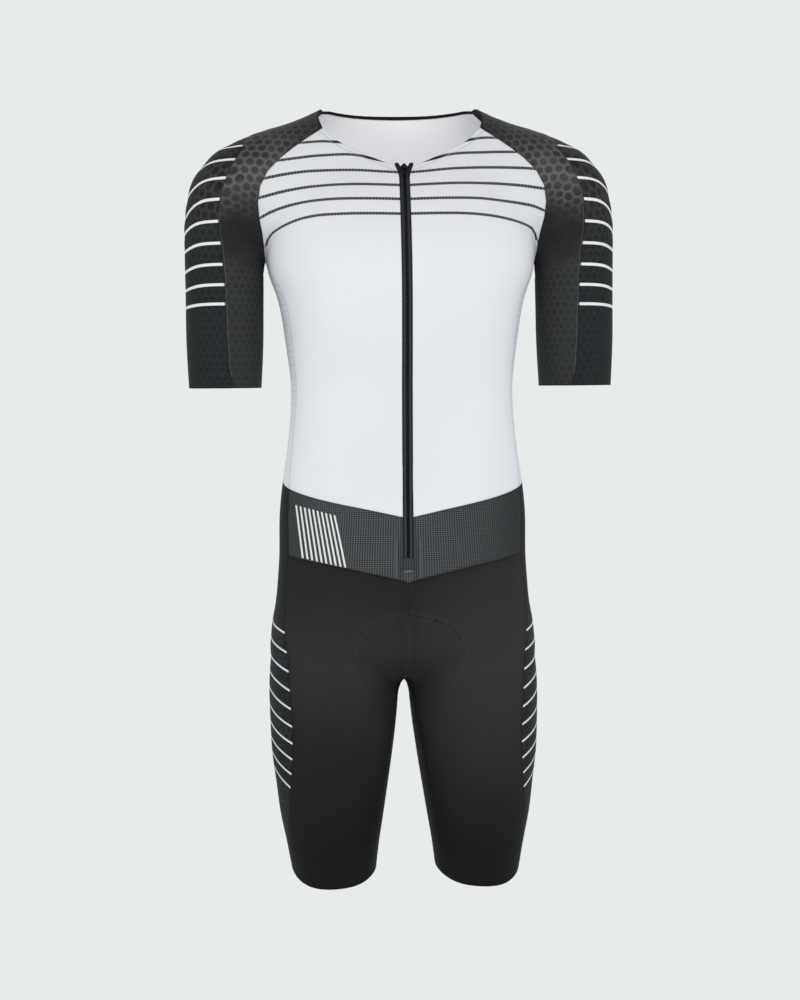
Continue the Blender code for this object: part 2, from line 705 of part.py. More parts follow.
def build_tops(white, mesh_white, dotted, striped, binding, edge_white):
    """Fronts, neck edges, back, side panels and sleeves. Returns the seams others need."""
    front_seam = raglan_seam(RAGLAN_FRONT, NECK_BAND)
    back_seam = raglan_seam(RAGLAN_BACK, NECK_BINDING)
    fold = settle(along(UNDERARM, 2 * UNDERARM_ROWS + 1))
    fold[0], fold[-1] = front_seam[-1], back_seam[-1]
    front_under, back_under = fold[:UNDERARM_ROWS + 1], fold[:UNDERARM_ROWS - 1:-1]
    side_front = seam_between(SIDE_FRONT, ARMPIT, BELT_SIDE_TOP, SIDE_ROWS + 1)
    side_back = seam_between(SIDE_BACK, ARMPIT, BELT_SIDE_TOP, SIDE_ROWS + 1)
    side_front[0], side_back[0] = fold[0], fold[-1]
    waist_front = settle(along(BELT_TOP, FRONT_COLUMNS + 1))
    waist_back = settle(along(WAIST_BACK, BACK_COLUMNS + 1))
    waist_side = settle(along(WAIST_SIDE, len(fold)))
    waist_front[-1] = waist_side[0] = side_front[-1]
    waist_back[-1] = waist_side[-1] = side_back[-1]

    # the fronts, from the side seam and the raglan seam to the zip
    outer_line = np.vstack([side_front[::-1], front_seam[-2:0:-1]])
    rows = len(outer_line)
    neck = settle(along(NECK_FRONT, FRONT_COLUMNS + 1))
    neck[-1] = front_seam[0]
    zip_line = middle_line(ZIP_HALF, neck[0, 2] - NECK_BAND, waist_front[0, 2], rows)[::-1]
    waist_front[0] = zip_line[0]
    band_foot = below_neck(neck, zip_line[-1], outer_line[-1])
    front = spread(zip_line, outer_line, waist_front, band_foot, torso_axis, 0.0)
    both_sides("front", drawn_in(front), white)
    band = np.stack([band_foot, settle((band_foot + neck) / 2), neck])
    both_sides("neck_band", drawn_in(band), edge_white)

    # the back, in one piece
    outer_line = np.vstack([side_back[::-1], back_seam[-2:0:-1]])
    neck = settle(along(NECK_BACK, BACK_COLUMNS + 1))
    neck[-1] = back_seam[0]
    heights = np.linspace(waist_back[0, 2], neck[0, 2] - NECK_BINDING, rows)
    start = np.column_stack([np.zeros(rows), torso_axis(heights)[1], heights])
    spine = first_exit(start, np.tile((0.0, 1.0, 0.0), (rows, 1)))
    waist_back[0] = spine[0]
    binding_foot = below_neck(neck, spine[-1], outer_line[-1])
    back = spread(spine, outer_line, waist_back, binding_foot, torso_axis, math.pi)
    wall("back", drawn_in(whole(back)), white)
    wall("neck_binding", drawn_in(whole(np.stack([binding_foot, neck]))), binding)

    # the side panels, under the arms
    side = spread(side_front[::-1], side_back[::-1], waist_side, fold, torso_axis, math.pi / 2)
    both_sides("side", drawn_in(side), mesh_white)

    # the raglan sleeves
    grids = cut_sleeve(np.vstack([front_seam, front_under[1:]]),
                       np.vstack([back_seam, back_under[1:]]))
    for name, grid, finish in zip(("sleeve_front", "sleeve_outer", "sleeve_back"), grids,
                                  (dotted, striped, dotted)):
        edged = drawn_in(grid)
        if name == "sleeve_outer":
            edged[0] = edged[0].mean(axis=0)
        both_sides(name, edged, finish)
    return waist_front, waist_side, waist_back


def build_bottoms(waist_front, waist_side, waist_back, grey, black, striped):
    """Belt, shorts, side panels of the legs and inner legs."""
    belt_front = settle(along(BELT_BOTTOM, FRONT_COLUMNS + 1))
    belt_back = settle(along(BELT_BACK, BACK_COLUMNS + 1))
    side_front = np.vstack([
        seam_between(SIDE_FRONT, BELT_SIDE_TOP, BELT_SIDE_BOTTOM, BELT_ROWS + 1)[:-1],
        to_hem(SIDE_FRONT, HEM_SIDE_FRONT, BELT_SIDE_BOTTOM, LEG_MIDDLE_ROWS + LEG_INNER_ROWS + 1)])
    side_back = np.vstack([
        seam_between(SIDE_BACK, BELT_SIDE_TOP, BELT_SIDE_BOTTOM, BELT_ROWS + 1)[:-1],
        to_hem(SIDE_BACK, HEM_SIDE_BACK, BELT_SIDE_BOTTOM, LEG_MIDDLE_ROWS + LEG_INNER_ROWS + 1)])
    side_front[0], side_back[0] = waist_side[0], waist_side[-1]
    belt_front[-1], belt_back[-1] = side_front[BELT_ROWS], side_back[BELT_ROWS]

    # the belt: two fronts beside the zip, and a back
    zip_line = middle_line(ZIP_HALF, waist_front[0, 2], belt_front[0, 2], BELT_ROWS + 1)[::-1]
    zip_line[-1], belt_front[0] = waist_front[0], zip_line[0]
    belt = spread(zip_line, side_front[BELT_ROWS::-1], belt_front, waist_front, torso_axis, 0.0)
    both_sides("belt", drawn_in(belt), grey)
    heights = np.linspace(belt_back[0, 2], waist_back[0, 2], BELT_ROWS + 1)
    start = np.column_stack([0 * heights, torso_axis(heights)[1], heights])
    spine = first_exit(start, np.tile((0.0, 1.0, 0.0), (BELT_ROWS + 1, 1)))
    belt_back[0], spine[-1] = spine[0], waist_back[0]
    belt = spread(spine, side_back[BELT_ROWS::-1], belt_back, waist_back, torso_axis, math.pi)
    wall("belt_back", drawn_in(whole(belt)), grey)

    # the shorts' middle and inner seams
    middle_front = settle(along(SHORTS_FRONT, LEG_MIDDLE_ROWS + 1))
    middle_back = settle(along(SHORTS_BACK, LEG_MIDDLE_ROWS + 1))
    inner_front = to_hem(INNER_FRONT, HEM_INNER_FRONT, INNER_FRONT[0, 2], LEG_INNER_ROWS + 1)
    inner_back = to_hem(INNER_BACK, HEM_INNER_BACK, INNER_BACK[0, 2], LEG_INNER_ROWS + 1)
    inner_front[0], inner_back[0] = middle_front[-1], middle_back[-1]
    middle_back[0] = belt_back[0]

    # front and back of the shorts
    tip = settle(np.array([[0.0, BELT_BOTTOM[0, 1], SHORTS_FRONT[0, 2]]]))
    middle_front[0] = tip[0]
    front_top = np.vstack([tip, belt_front])
    hem = hem_point(np.linspace(HEM_INNER_FRONT, HEM_SIDE_FRONT, len(front_top)))
    front = spread(np.vstack([middle_front, inner_front[1:]])[::-1], side_front[:BELT_ROWS - 1:-1],
                   hem, front_top, leg_axis, 0.0)
    both_sides("shorts_front", drawn_in(front), black)
    hem = hem_point(np.linspace(HEM_INNER_BACK + 2 * math.pi, HEM_SIDE_BACK, len(belt_back)))
    back = spread(np.vstack([middle_back, inner_back[1:]])[::-1], side_back[:BELT_ROWS - 1:-1],
                  hem, belt_back, leg_axis, math.pi)
    both_sides("shorts_back", drawn_in(back), black)

    # side panels and inner legs
    hem = hem_point(np.linspace(HEM_SIDE_FRONT, HEM_SIDE_BACK, len(waist_side)))
    side = spread(side_front[::-1], side_back[::-1], hem, waist_side, leg_axis, math.pi / 2)
    both_sides("leg_side", drawn_in(side), striped)
    crotch = settle(np.array([(0.0, y, -0.690) for y in np.linspace(
        inner_front[0, 1], inner_back[0, 1], LEG_INNER_COLUMNS + 1)]))
    crotch[:, 0] = 0.0
    crotch[0], crotch[-1] = inner_front[0], inner_back[0]
    hem = hem_point(np.linspace(HEM_INNER_FRONT, HEM_INNER_BACK, LEG_INNER_COLUMNS + 1))
    inner = spread(inner_front[::-1], inner_back[::-1], hem, crotch, leg_axis, -math.pi / 2)
    both_sides("leg_inner", drawn_in(inner), black)


def build_pad(grey):
    """The padded seat insert, inside the shorts round the crotch."""
    count = len(PAD_BEHIND)
    middle, rim = settle(along(PAD_MIDDLE, count)), settle(along(PAD_RIM, count))
    middle[:, 0] = 0.0
    columns = 5
    shares = np.linspace(0, 1, columns)[:, None, None]
    half = settle((1 - shares) * middle + shares * rim).transpose(1, 0, 2)
    grid = whole(half)
    across = np.abs(np.linspace(-1, 1, grid.shape[1]))[None, :]
    endwise = np.abs(np.linspace(-1, 1, count))[:, None]
    fullness = (1 - across**4) * (1 - endwise**6)
    behind = PAD_BEHIND[:, :1] + across * (PAD_BEHIND[:, 1:] - PAD_BEHIND[:, :1])
    wall("seat_pad", grid, grey, thickness=PAD_EDGE + (PAD_WALL - PAD_EDGE) * fullness,
         lift=-behind / 1000)


def build_zip(tape_black, tooth_black, grey):
    """The front zip: two tapes with their ends turned out, the teeth and the end patch."""
    ear_heights = NECK_FRONT[0, 2] + EARS_ABOVE - EARS[:, 0]
    plain = np.linspace(ear_heights[-1], ZIP_BOTTOM, ZIP_ROWS)[1:]
    heights = np.concatenate([ear_heights, plain])
    inner = np.concatenate([EARS[:, 1], np.full(len(plain), TAPE_INNER)])
    outer = np.concatenate([EARS[:, 2], np.full(len(plain), TAPE_OUTER)])
    lift = np.concatenate([EARS[:, 3], np.full(len(plain), -TAPE_WALL)]) + TAPE_WALL
    columns = []
    for share in (0, 0.5, 1):
        start = np.column_stack([inner + share * (outer - inner), torso_axis(heights)[1], heights])
        columns.append(first_exit(start, np.tile((0.0, -1.0, 0.0), (len(heights), 1))))
    tape = np.array(columns).transpose(1, 0, 2)
    for name, side in (("zip_tape_left", tape), ("zip_tape_right", mirrored(tape))):
        wall(name, side, tape_black, thickness=TAPE_WALL, lift=lift[:, None])

    columns = [middle_line(x, TEETH_TOP, ZIP_BOTTOM, ZIP_ROWS)
               for x in (-TEETH_HALF, -TEETH_HALF / 2, TEETH_HALF / 2, TEETH_HALF)]
    crown = np.array([0.4, 1.0, 1.0, 0.4]) * TEETH_PROUD
    wall("zip_teeth", np.array(columns).transpose(1, 0, 2), tooth_black,
         thickness=TEETH_WALL, lift=crown[None, :])

    # a patch of belt cloth closes the belt below the zip
    half = ZIP_HALF - SEAM_GAP / 2
    patch_top = ZIP_BOTTOM - SEAM_GAP
    tip, shoulder = SHORTS_FRONT[0, 2] + SEAM_GAP / 2, BELT_BOTTOM[0, 2] + SEAM_GAP / 2
    rows = []
    for share in np.linspace(0, 1, 4):
        x = np.array([-half, 0.0, half])
        foot = np.array([shoulder, tip, shoulder])
        heights = foot + share * (patch_top - foot)
        start = np.column_stack([x, torso_axis(heights)[1], heights])
        rows.append(first_exit(start, np.tile((0.0, -1.0, 0.0), (3, 1))))
    wall("zip_end", np.array(rows), grey)


def plate(name, top_half, bottom_half, top, bottom, base, thickness, corner, finish):
    """Flat plate that tapers down its length, with rounded corners, in the slider's frame."""
    bm = bmesh.new()
    bmesh.ops.create_cube(bm, size=1.0)
    for vert in bm.verts:
        upper = vert.co.y > 0
        vert.co = (2 * vert.co.x * (top_half if upper else bottom_half),
                   top if upper else bottom, base + (vert.co.z + 0.5) * thickness)
    upright = [edge for edge in bm.edges
               if abs(edge.verts[0].co.z - edge.verts[1].co.z) > thickness / 2]
    bmesh.ops.bevel(bm, geom=upright, offset=corner, segments=3, profile=0.5, affect="EDGES")
    return add_mesh(name, bm, finish, SUIT)


def build_slider(metal):
    """The zip's slider, and the pull tab that hangs in the slider's arch.

    In the slider's own frame Z points out of the cloth and -Y runs down the zip.
    """
    seat = middle_line(0.0, SLIDER_HEIGHT, SLIDER_HEIGHT - 0.001, 2)[0]
    out = outward(seat)
    place = bpy.data.objects.new("slider_place", None)
    place.location = seat + out * (TEETH_PROUD + SLIDER_CLEAR)
    place.rotation_euler = (math.atan2(-out[1], out[2]), 0.0, 0.0)
    SUIT.objects.link(place)
    slider = plate("zip_slider", SLIDER_TOP_HALF, SLIDER_TAIL_HALF, SLIDER_LENGTH / 2,
                   -SLIDER_LENGTH / 2, 0.0, SLIDER_PLATE, 0.0012, metal)
    slider.parent = place

    # the arch over the tab's pin: a half ring whose feet sink into the slider
    pin = SLIDER_PLATE + PIN_ABOVE
    sink = math.asin((PIN_ABOVE + SLIDER_PLATE / 2) / BRIDGE_OUTER)
    bm = bmesh.new()
    bmesh.ops.create_grid(bm, x_segments=1, y_segments=1, size=0.5)
    for vert in bm.verts:
        vert.co = (2 * vert.co.x * BRIDGE_HALF,
                   BRIDGE_INNER + (vert.co.y + 0.5) * (BRIDGE_OUTER - BRIDGE_INNER), pin)
    bmesh.ops.rotate(bm, verts=bm.verts, cent=(0, 0, pin), matrix=Matrix.Rotation(-sink, 3, "X"))
    bmesh.ops.spin(bm, geom=bm.faces[:], cent=(0, 0, pin), axis=(1, 0, 0),
                   angle=math.pi + 2 * sink, steps=12, use_merge=False, use_duplicate=False)
    bmesh.ops.recalc_face_normals(bm, faces=bm.faces)
    arch = add_mesh("slider_arch", bm, metal, TOOLS)
    arch.parent = place
    union = slider.modifiers.new("arch", "BOOLEAN")
    union.operation = "UNION"
    union.object = arch

    # the tab, whose top bar is its pin; a window lets the arch through
    hinge = bpy.data.objects.new("pull_tab_hinge", None)
    hinge.location = (0, 0, pin)
    hinge.parent = place
    SUIT.objects.link(hinge)
    bar = TAB_WALL / 2
    tab = plate("pull_tab", TAB_HALF, 0.8 * TAB_HALF, bar, bar - TAB_LENGTH, -bar, TAB_WALL,
                0.0009, metal)
    tab.parent = hinge
    bm = bmesh.new()
    bmesh.ops.create_cube(bm, size=1.0)
    for vert in bm.verts:
        vert.co = (2 * vert.co.x * WINDOW_HALF, -bar if vert.co.y > 0 else -WINDOW_END,
                   vert.co.z * 4 * TAB_WALL)
    window = add_mesh("tab_window", bm, metal, TOOLS)
    window.parent = hinge
    cut = tab.modifiers.new("window", "BOOLEAN")
    cut.operation = "DIFFERENCE"
    cut.object = window
    for tool in (arch, window):
        tool.hide_render = True
        tool.display_type = "WIRE"


for item in list(bpy.data.objects):
    bpy.data.objects.remove(item)
bpy.context.scene.collection.children.link(SUIT)
bpy.context.scene.collection.children.link(TOOLS)

WHITE = material("white_cloth", (0.80, 0.81, 0.83), 0.62)
WHITE_MESH = material("white_perforated_cloth", (0.70, 0.72, 0.75), 0.65)
WHITE_EDGE = material("white_hem", (0.78, 0.79, 0.81), 0.60)
DOTTED = material("black_dotted_cloth", (0.045, 0.046, 0.048), 0.60)
STRIPED = material("black_striped_cloth", (0.025, 0.026, 0.028), 0.55)
BLACK = material("black_cloth", (0.018, 0.018, 0.020), 0.60)
GREY = material("grey_checked_cloth", (0.075, 0.078, 0.080), 0.60)
TAPE = material("black_zip_tape", (0.015, 0.015, 0.017), 0.70)
TEETH = material("black_zip_teeth", (0.008, 0.008, 0.009), 0.35)
SLIDER = material("black_slider", (0.010, 0.010, 0.011), 0.30, 0.6)
PAD = material("grey_pad", (0.12, 0.12, 0.13), 0.85)

waists = build_tops(WHITE, WHITE_MESH, DOTTED, STRIPED, BLACK, WHITE_EDGE)
build_bottoms(*waists, GREY, BLACK, STRIPED)
build_pad(PAD)
build_zip(TAPE, TEETH, GREY)
build_slider(SLIDER)
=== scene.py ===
"""A short-sleeved triathlon suit, filled out as it is when it is worn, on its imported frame.

Units are metres, +Z is up, the front faces -Y and the wearer's left is +X.
"""

import math

import bmesh
import bpy
import numpy as np
from mathutils import Matrix, Vector


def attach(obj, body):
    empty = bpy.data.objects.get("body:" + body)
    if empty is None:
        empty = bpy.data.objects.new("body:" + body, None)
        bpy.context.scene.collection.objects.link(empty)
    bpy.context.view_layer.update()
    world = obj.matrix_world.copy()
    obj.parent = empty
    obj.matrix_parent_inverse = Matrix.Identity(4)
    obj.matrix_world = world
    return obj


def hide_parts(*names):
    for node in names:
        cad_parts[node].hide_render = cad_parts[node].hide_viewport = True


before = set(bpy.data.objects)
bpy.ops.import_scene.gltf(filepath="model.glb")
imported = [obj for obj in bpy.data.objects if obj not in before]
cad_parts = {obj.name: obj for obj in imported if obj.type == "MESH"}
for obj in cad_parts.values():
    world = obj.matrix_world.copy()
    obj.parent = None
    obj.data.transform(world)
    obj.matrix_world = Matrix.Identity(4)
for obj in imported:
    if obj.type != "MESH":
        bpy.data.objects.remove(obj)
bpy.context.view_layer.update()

# ---- Camera, sweep and lights ----
# A pale studio sweep stands behind the suit and turns into the floor under it. Broad soft
# lights stand in front, at both sides and behind, and the wearer's left is lit a little more.


def stand(name, data, place, target, roll=0.0):
    """A camera or a lamp that stands at a place and faces a target."""
    made = bpy.data.objects.new(name, data)
    turn = (Vector(target) - Vector(place)).to_track_quat("-Z", "Y").to_matrix()
    turn = turn @ Matrix.Rotation(roll, 3, "Z")
    made.matrix_world = Matrix.Translation(place) @ turn.to_4x4()
    bpy.context.scene.collection.objects.link(made)
    return made


lens = bpy.data.cameras.new("camera")
lens.sensor_width, lens.lens = 36.0, 90.26
EYE, AIM, ROLL = (-0.1965, -3.0, -0.3468), (-0.0025, 0.0, -0.4668), math.radians(-0.5)
bpy.context.scene.camera = stand("camera", lens, EYE, AIM, ROLL)
bpy.context.scene.view_settings.view_transform = "Standard"


def linear(red, green, blue):
    """Colour from the values of 0 to 255 that it has on a screen."""
    shares = (value / 255 for value in (red, green, blue))
    return (*(s / 12.92 if s <= 0.04045 else ((s + 0.055) / 1.055)**2.4 for s in shares), 1.0)


def math_node(operation):
    """Method that adds one Math node to a wire's finish."""
    return lambda wire, *others: wire.math(operation, wire, *others)


class Wire:
    """A socket of a finish, on which arithmetic adds Math nodes."""

    def __init__(self, finish, socket):
        self.finish, self.socket = finish, socket

    def math(self, operation, *values):
        return self.finish.node("ShaderNodeMath", {"operation": operation}, values)

    __add__ = __radd__ = math_node("ADD")
    __mul__ = __rmul__ = math_node("MULTIPLY")
    __sub__, __truediv__ = math_node("SUBTRACT"), math_node("DIVIDE")
    __gt__, __lt__ = math_node("GREATER_THAN"), math_node("LESS_THAN")
    __abs__, root = math_node("ABSOLUTE"), math_node("SQRT")
    smaller, larger = math_node("MINIMUM"), math_node("MAXIMUM")

    def __rsub__(self, other):
        return self.math("SUBTRACT", other, self)

    def off_centre(self):
        """Distance from the nearest whole number."""
        return abs(self - self.math("ROUND", self))

    def rise(self, low, high, start=0.0, end=1.0):
        """Smooth step from start to end, between low and high."""
        return self.finish.node("ShaderNodeMapRange", {"interpolation_type": "SMOOTHSTEP"},
                                (self, low, high, start, end))

    def near(self, middle, half, soft):
        """1 within a band round middle, and 0 outside it."""
        return abs(self - middle).rise(half - soft, half + soft, 1.0, 0.0)


# The Mix node's sockets for colours, which share their names with those for numbers
SHARE, LOW, HIGH, MIXED = 0, 6, 7, 2


class Finish:
    """A Principled material whose pattern is put together node by node; matt, if nothing is said."""

    def __init__(self, name, slot, rough=0.7, shine=0.12, **others):
        self.slot = slot
        self.material = bpy.data.materials.new(name)
        self.material.use_nodes = True
        self.tree = self.material.node_tree
        self.shader = self.tree.nodes["Principled BSDF"]
        for socket, value in dict(others, Roughness=rough, Specular_IOR_Level=shine).items():
            self.shader.inputs[socket.replace("_", " ")].default_value = value

    def node(self, kind, settings, values, output=0):
        """Any node, by its type, its settings, and the values or wires of its sockets."""
        made = self.tree.nodes.new(kind)
        for name, value in settings.items():
            setattr(made, name, value)
        for key, value in (values.items() if isinstance(values, dict) else enumerate(values)):
            if isinstance(value, Wire):
                self.tree.links.new(value.socket, made.inputs[key])
            else:
                made.inputs[key].default_value = value
        return Wire(self, made.outputs[output])

    def place(self, uv_map=None):
        """The three coordinates of a UV map, or of the object itself."""
        if uv_map:
            spot = self.node("ShaderNodeUVMap", {"uv_map": uv_map}, ())
        else:
            spot = self.node("ShaderNodeTexCoord", {}, (), output="Object")
        parts = self.node("ShaderNodeSeparateXYZ", {}, (spot,)).socket.node.outputs
        return [Wire(self, part) for part in parts]

    def mottle(self, scale, detail=3.0):
        """Soft cloudy noise in space, from 0 to 1."""
        spot = self.node("ShaderNodeTexCoord", {}, (), output="Object")
        return self.node("ShaderNodeTexNoise", {},
                         {"Vector": spot, "Scale": scale, "Detail": detail, "Roughness": 0.5})

    def blend(self, share, low, high):
        """Colour between two, each of which is a wire or screen values."""
        low, high = (tone if isinstance(tone, Wire) else linear(*tone) for tone in (low, high))
        return self.node("ShaderNodeMix", {"data_type": "RGBA"},
                         {SHARE: share, LOW: low, HIGH: high}, output=MIXED)

    def layered(self, colour, *layers):
        """Colour under layers, each of which is the share that it covers and its colour."""
        for share, tone in layers:
            colour = self.blend(share, colour, tone)
        return colour

    def rim(self, start, end, share):
        """A share close to the panel's rim that falls to nothing, between two distances."""
        return self.place("rim")[0].rise(start, end, share, 0.0)

    def stripes(self, count, start, end):
        """1 on a number of printed stripes, soft between two distances from their middles."""
        number, apart, _ = self.place("print")
        line = (number.off_centre() * apart).rise(start, end, 1.0, 0.0)
        return line * (number > -0.5) * (number < count - 0.5)

    def ramp(self, share, stops):
        """Colour read along a row of stops, each a place and its screen values."""
        made = self.node("ShaderNodeValToRGB", {}, (share,))
        elements = made.socket.node.color_ramp.elements
        while len(elements) < len(stops):
            elements.new(0.5)
        for element, (position, tone) in zip(elements, stops):
            element.position, element.color = position, linear(*tone)
        return made

    def feed(self, socket, wire):
        self.tree.links.new(wire.socket, self.shader.inputs[socket])

    def relief(self, height, distance, strength=1.0):
        """Bump whose height of 1 stands for a distance in metres."""
        self.feed("Normal", self.node("ShaderNodeBump", {}, {
            "Strength": strength, "Distance": distance, "Height": height}))

    def knit(self, pitch):
        """Height of a fine warp knit: ribs down the cloth, crossed by its courses."""
        u, v, _ = self.place("cloth")
        ribs = (u / pitch).off_centre()
        courses = (v / pitch + ribs * 0.8).off_centre()
        return 1 - ribs * 1.2 - courses * 0.8


def built(name, bm, *finishes, smooth=True):
    """Object of a bmesh, in the scene, with its finishes."""
    mesh = bpy.data.meshes.new(name)
    bm.to_mesh(mesh)
    bm.free()
    if smooth:
        mesh.shade_smooth()
    for finish in finishes:
        mesh.materials.append(finish.material)
    made = bpy.data.objects.new(name, mesh)
    bpy.context.scene.collection.objects.link(made)
    return made


BACKDROP = (231, 236, 234)
paper = Finish("sweep_paper", None, 1.0, 0.0, Emission_Strength=1.0)
_, y, _ = paper.place()
behind = y.rise(1.2, 2.6).larger(paper.node("ShaderNodeLightPath", {}, ()))
grain = paper.mottle(40.0).rise(0.2, 0.8) * 0.02
paper.feed("Base Color", paper.blend(behind, (188, 192, 190), (0, 0, 0)))
paper.feed("Emission Color", paper.blend(behind + grain - 0.01, (120, 122, 121), BACKDROP))

FLOOR, NEAR_END, WALL, WALL_TOP, BEND, HALF_WIDTH = -1.75, -9.0, 5.0, 8.0, 1.6, 7.0
bm = bmesh.new()
profile = [bm.verts.new((-HALF_WIDTH, y, FLOOR)) for y in (NEAR_END, WALL - BEND)]
bm.edges.new(profile)
bmesh.ops.spin(bm, geom=[profile[1]], cent=(-HALF_WIDTH, WALL - BEND, FLOOR + BEND), axis=(1, 0, 0),
               angle=math.pi / 2, steps=24, use_merge=False, use_duplicate=False)
bm.verts.ensure_lookup_table()
top = max(bm.verts, key=lambda vert: vert.co.z)
bm.edges.new((top, bm.verts.new((-HALF_WIDTH, WALL, WALL_TOP))))
grown = bmesh.ops.extrude_edge_only(bm, edges=bm.edges[:])
bmesh.ops.translate(bm, vec=(2 * HALF_WIDTH, 0, 0),
                    verts=[item for item in grown["geom"] if isinstance(item, bmesh.types.BMVert)])
built("sweep", bm, paper)

# Soft lights. Columns: name, place, height of the target, width, height, power
for name, place, target, width, height, power in (
        ("key", (1.5, -3.4, 0.9), -0.45, 2.2, 2.6, 34),
        ("fill", (-2.4, -3.0, 0.2), -0.5, 2.2, 2.6, 21),
        ("front", (-0.1, -3.9, 1.5), -0.35, 2.4, 2.0, 57),
        ("side_left", (2.4, -0.5, -0.2), -0.4, 1.2, 2.4, 13),
        ("side_right", (-2.4, -0.5, -0.2), -0.4, 1.2, 2.4, 13),
        ("rear", (0.3, 2.0, 1.2), -0.3, 3.0, 1.5, 12)):
    light = bpy.data.lights.new(name, "AREA")
    light.shape, light.size, light.size_y, light.energy = "RECTANGLE", width, height, power
    stand(name, light, place, (0, 0, target))
world = bpy.data.worlds.new("studio")
world.use_nodes = True
seen = world.node_tree.nodes.new("ShaderNodeLightPath")
sky = world.node_tree.nodes.new("ShaderNodeMix")
sky.data_type = "RGBA"
sky.inputs[LOW].default_value = (0.34, 0.345, 0.35, 1)
sky.inputs[HIGH].default_value = linear(*BACKDROP)
world.node_tree.links.new(seen.outputs["Is Camera Ray"], sky.inputs[SHARE])
world.node_tree.links.new(sky.outputs[MIXED], world.node_tree.nodes["Background"].inputs["Color"])
bpy.context.scene.world = world

# ---- Front bodies ----
# Two panels of white warp knit, printed with six fine dark stripes over the chest. They are
# flat-seamed to the sleeves, the sides and the belt, and the zip is sewn in between them.

# Every panel lies on the worn form: a torso, two legs and two arms.
SIDES = ("left", "right")
FORK, LEG_TOP = -0.690, -0.562
# Torso sections. Columns: height, half width, half depth, centre y, squareness
TORSO = np.array([
    (FORK, 0.0100, 0.008, 0.002, 2.0), (-0.684, 0.0500, 0.030, 0.004, 2.0),
    (-0.672, 0.1050, 0.066, 0.008, 2.0), (-0.650, 0.1420, 0.100, 0.012, 2.3),
    (-0.623, 0.1520, 0.114, 0.014, 2.4), (-0.587, 0.1515, 0.115, 0.012, 2.4),
    (-0.533, 0.1480, 0.110, 0.006, 2.4), (-0.479, 0.1468, 0.104, -0.001, 2.4),
    (-0.443, 0.1430, 0.101, -0.004, 2.4), (-0.407, 0.1375, 0.100, -0.006, 2.4),
    (-0.371, 0.1335, 0.101, -0.007, 2.4), (-0.335, 0.1320, 0.104, -0.007, 2.4),
    (-0.281, 0.1375, 0.112, -0.007, 2.4), (-0.227, 0.1465, 0.118, -0.007, 2.4),
    (-0.191, 0.1580, 0.118, -0.006, 2.4), (-0.160, 0.1600, 0.114, -0.004, 2.4),
    (-0.110, 0.1520, 0.102, 0.000, 2.3), (-0.060, 0.1240, 0.082, 0.005, 2.2),
    (-0.015, 0.0860, 0.060, 0.012, 2.1), (0.020, 0.0660, 0.052, 0.016, 2.0),
    (0.060, 0.0550, 0.050, 0.018, 2.0),
])
# Leg sections. Columns: height, centre x, centre y, half width, half depth
LEG = np.array([
    (-0.960, 0.0850, -0.009, 0.0460, 0.058), (-0.911, 0.0860, -0.008, 0.0500, 0.062),
    (-0.875, 0.0870, -0.007, 0.0553, 0.066), (-0.839, 0.0875, -0.005, 0.0620, 0.071),
    (-0.803, 0.0870, -0.003, 0.0672, 0.077), (-0.767, 0.0867, 0.000, 0.0722, 0.083),
    (-0.731, 0.0852, 0.003, 0.0755, 0.089), (-0.695, 0.0838, 0.007, 0.0777, 0.096),
    (-0.659, 0.0815, 0.011, 0.0780, 0.103), (-0.623, 0.0790, 0.014, 0.0735, 0.105),
    (-0.587, 0.0770, 0.015, 0.0620, 0.092), (-0.560, 0.0760, 0.012, 0.0500, 0.070),
])
# Arm links. Columns: centre x, height, radius
ARM = np.array([
    (0.0400, -0.043, 0.0460), (0.0810, -0.053, 0.0495), (0.1200, -0.068, 0.0525),
    (0.1600, -0.084, 0.0555), (0.1920, -0.105, 0.0575), (0.2035, -0.134, 0.0525),
    (0.2090, -0.172, 0.0475), (0.2097, -0.220, 0.0465), (0.2097, -0.280, 0.0457),
    (0.2100, -0.336, 0.0430), (0.2100, -0.400, 0.0410),
])
ARM_Y, ARM_DEPTH = 0.006, 1.14


def curve(t, start, start_slope, end, end_slope):
    """Smooth curve from start to end, with the given slopes, at a share t of the way."""
    return ((2 * t**3 - 3 * t**2 + 1) * start + (t**3 - 2 * t**2 + t) * start_slope
            + (3 * t**2 - 2 * t**3) * end + (t**3 - t**2) * end_slope)


def smooth_rows(table, where):
    """Read a table, whose first column rises, along a smooth curve through its rows."""
    knots, rows = table[:, 0], table[:, 1:]
    slope = np.gradient(rows, knots, axis=0)
    at = np.clip(where, knots[0], knots[-1])
    row = np.clip(np.searchsorted(knots, at, side="right") - 1, 0, len(knots) - 2)
    span = (knots[row + 1] - knots[row])[..., None]
    t = (at - knots[row])[..., None] / span
    return curve(t, rows[row], span * slope[row], rows[row + 1], span * slope[row + 1])


def walked(points):
    """Length of a line up to each of its points."""
    return np.concatenate([[0.0], np.cumsum(np.linalg.norm(np.diff(points, axis=0), axis=1))])


def drawn(points, count):
    """Places on a smooth line through points."""
    far = walked(points)
    return smooth_rows(np.column_stack([far, points]), np.linspace(0, far[-1], count))


fine = drawn(ARM, 400)
steps = np.linspace(0, walked(fine)[-1], 28)
ARM_CHAIN = np.column_stack([np.interp(steps, walked(fine), fine[:, k]) for k in range(3)])


def joined(a, b, radius):
    """Two forms as one, with a soft join of the given radius."""
    share = np.clip(0.5 + 0.5 * (b - a) / radius, 0, 1)
    return b * (1 - share) + a * share - radius * share * (1 - share)


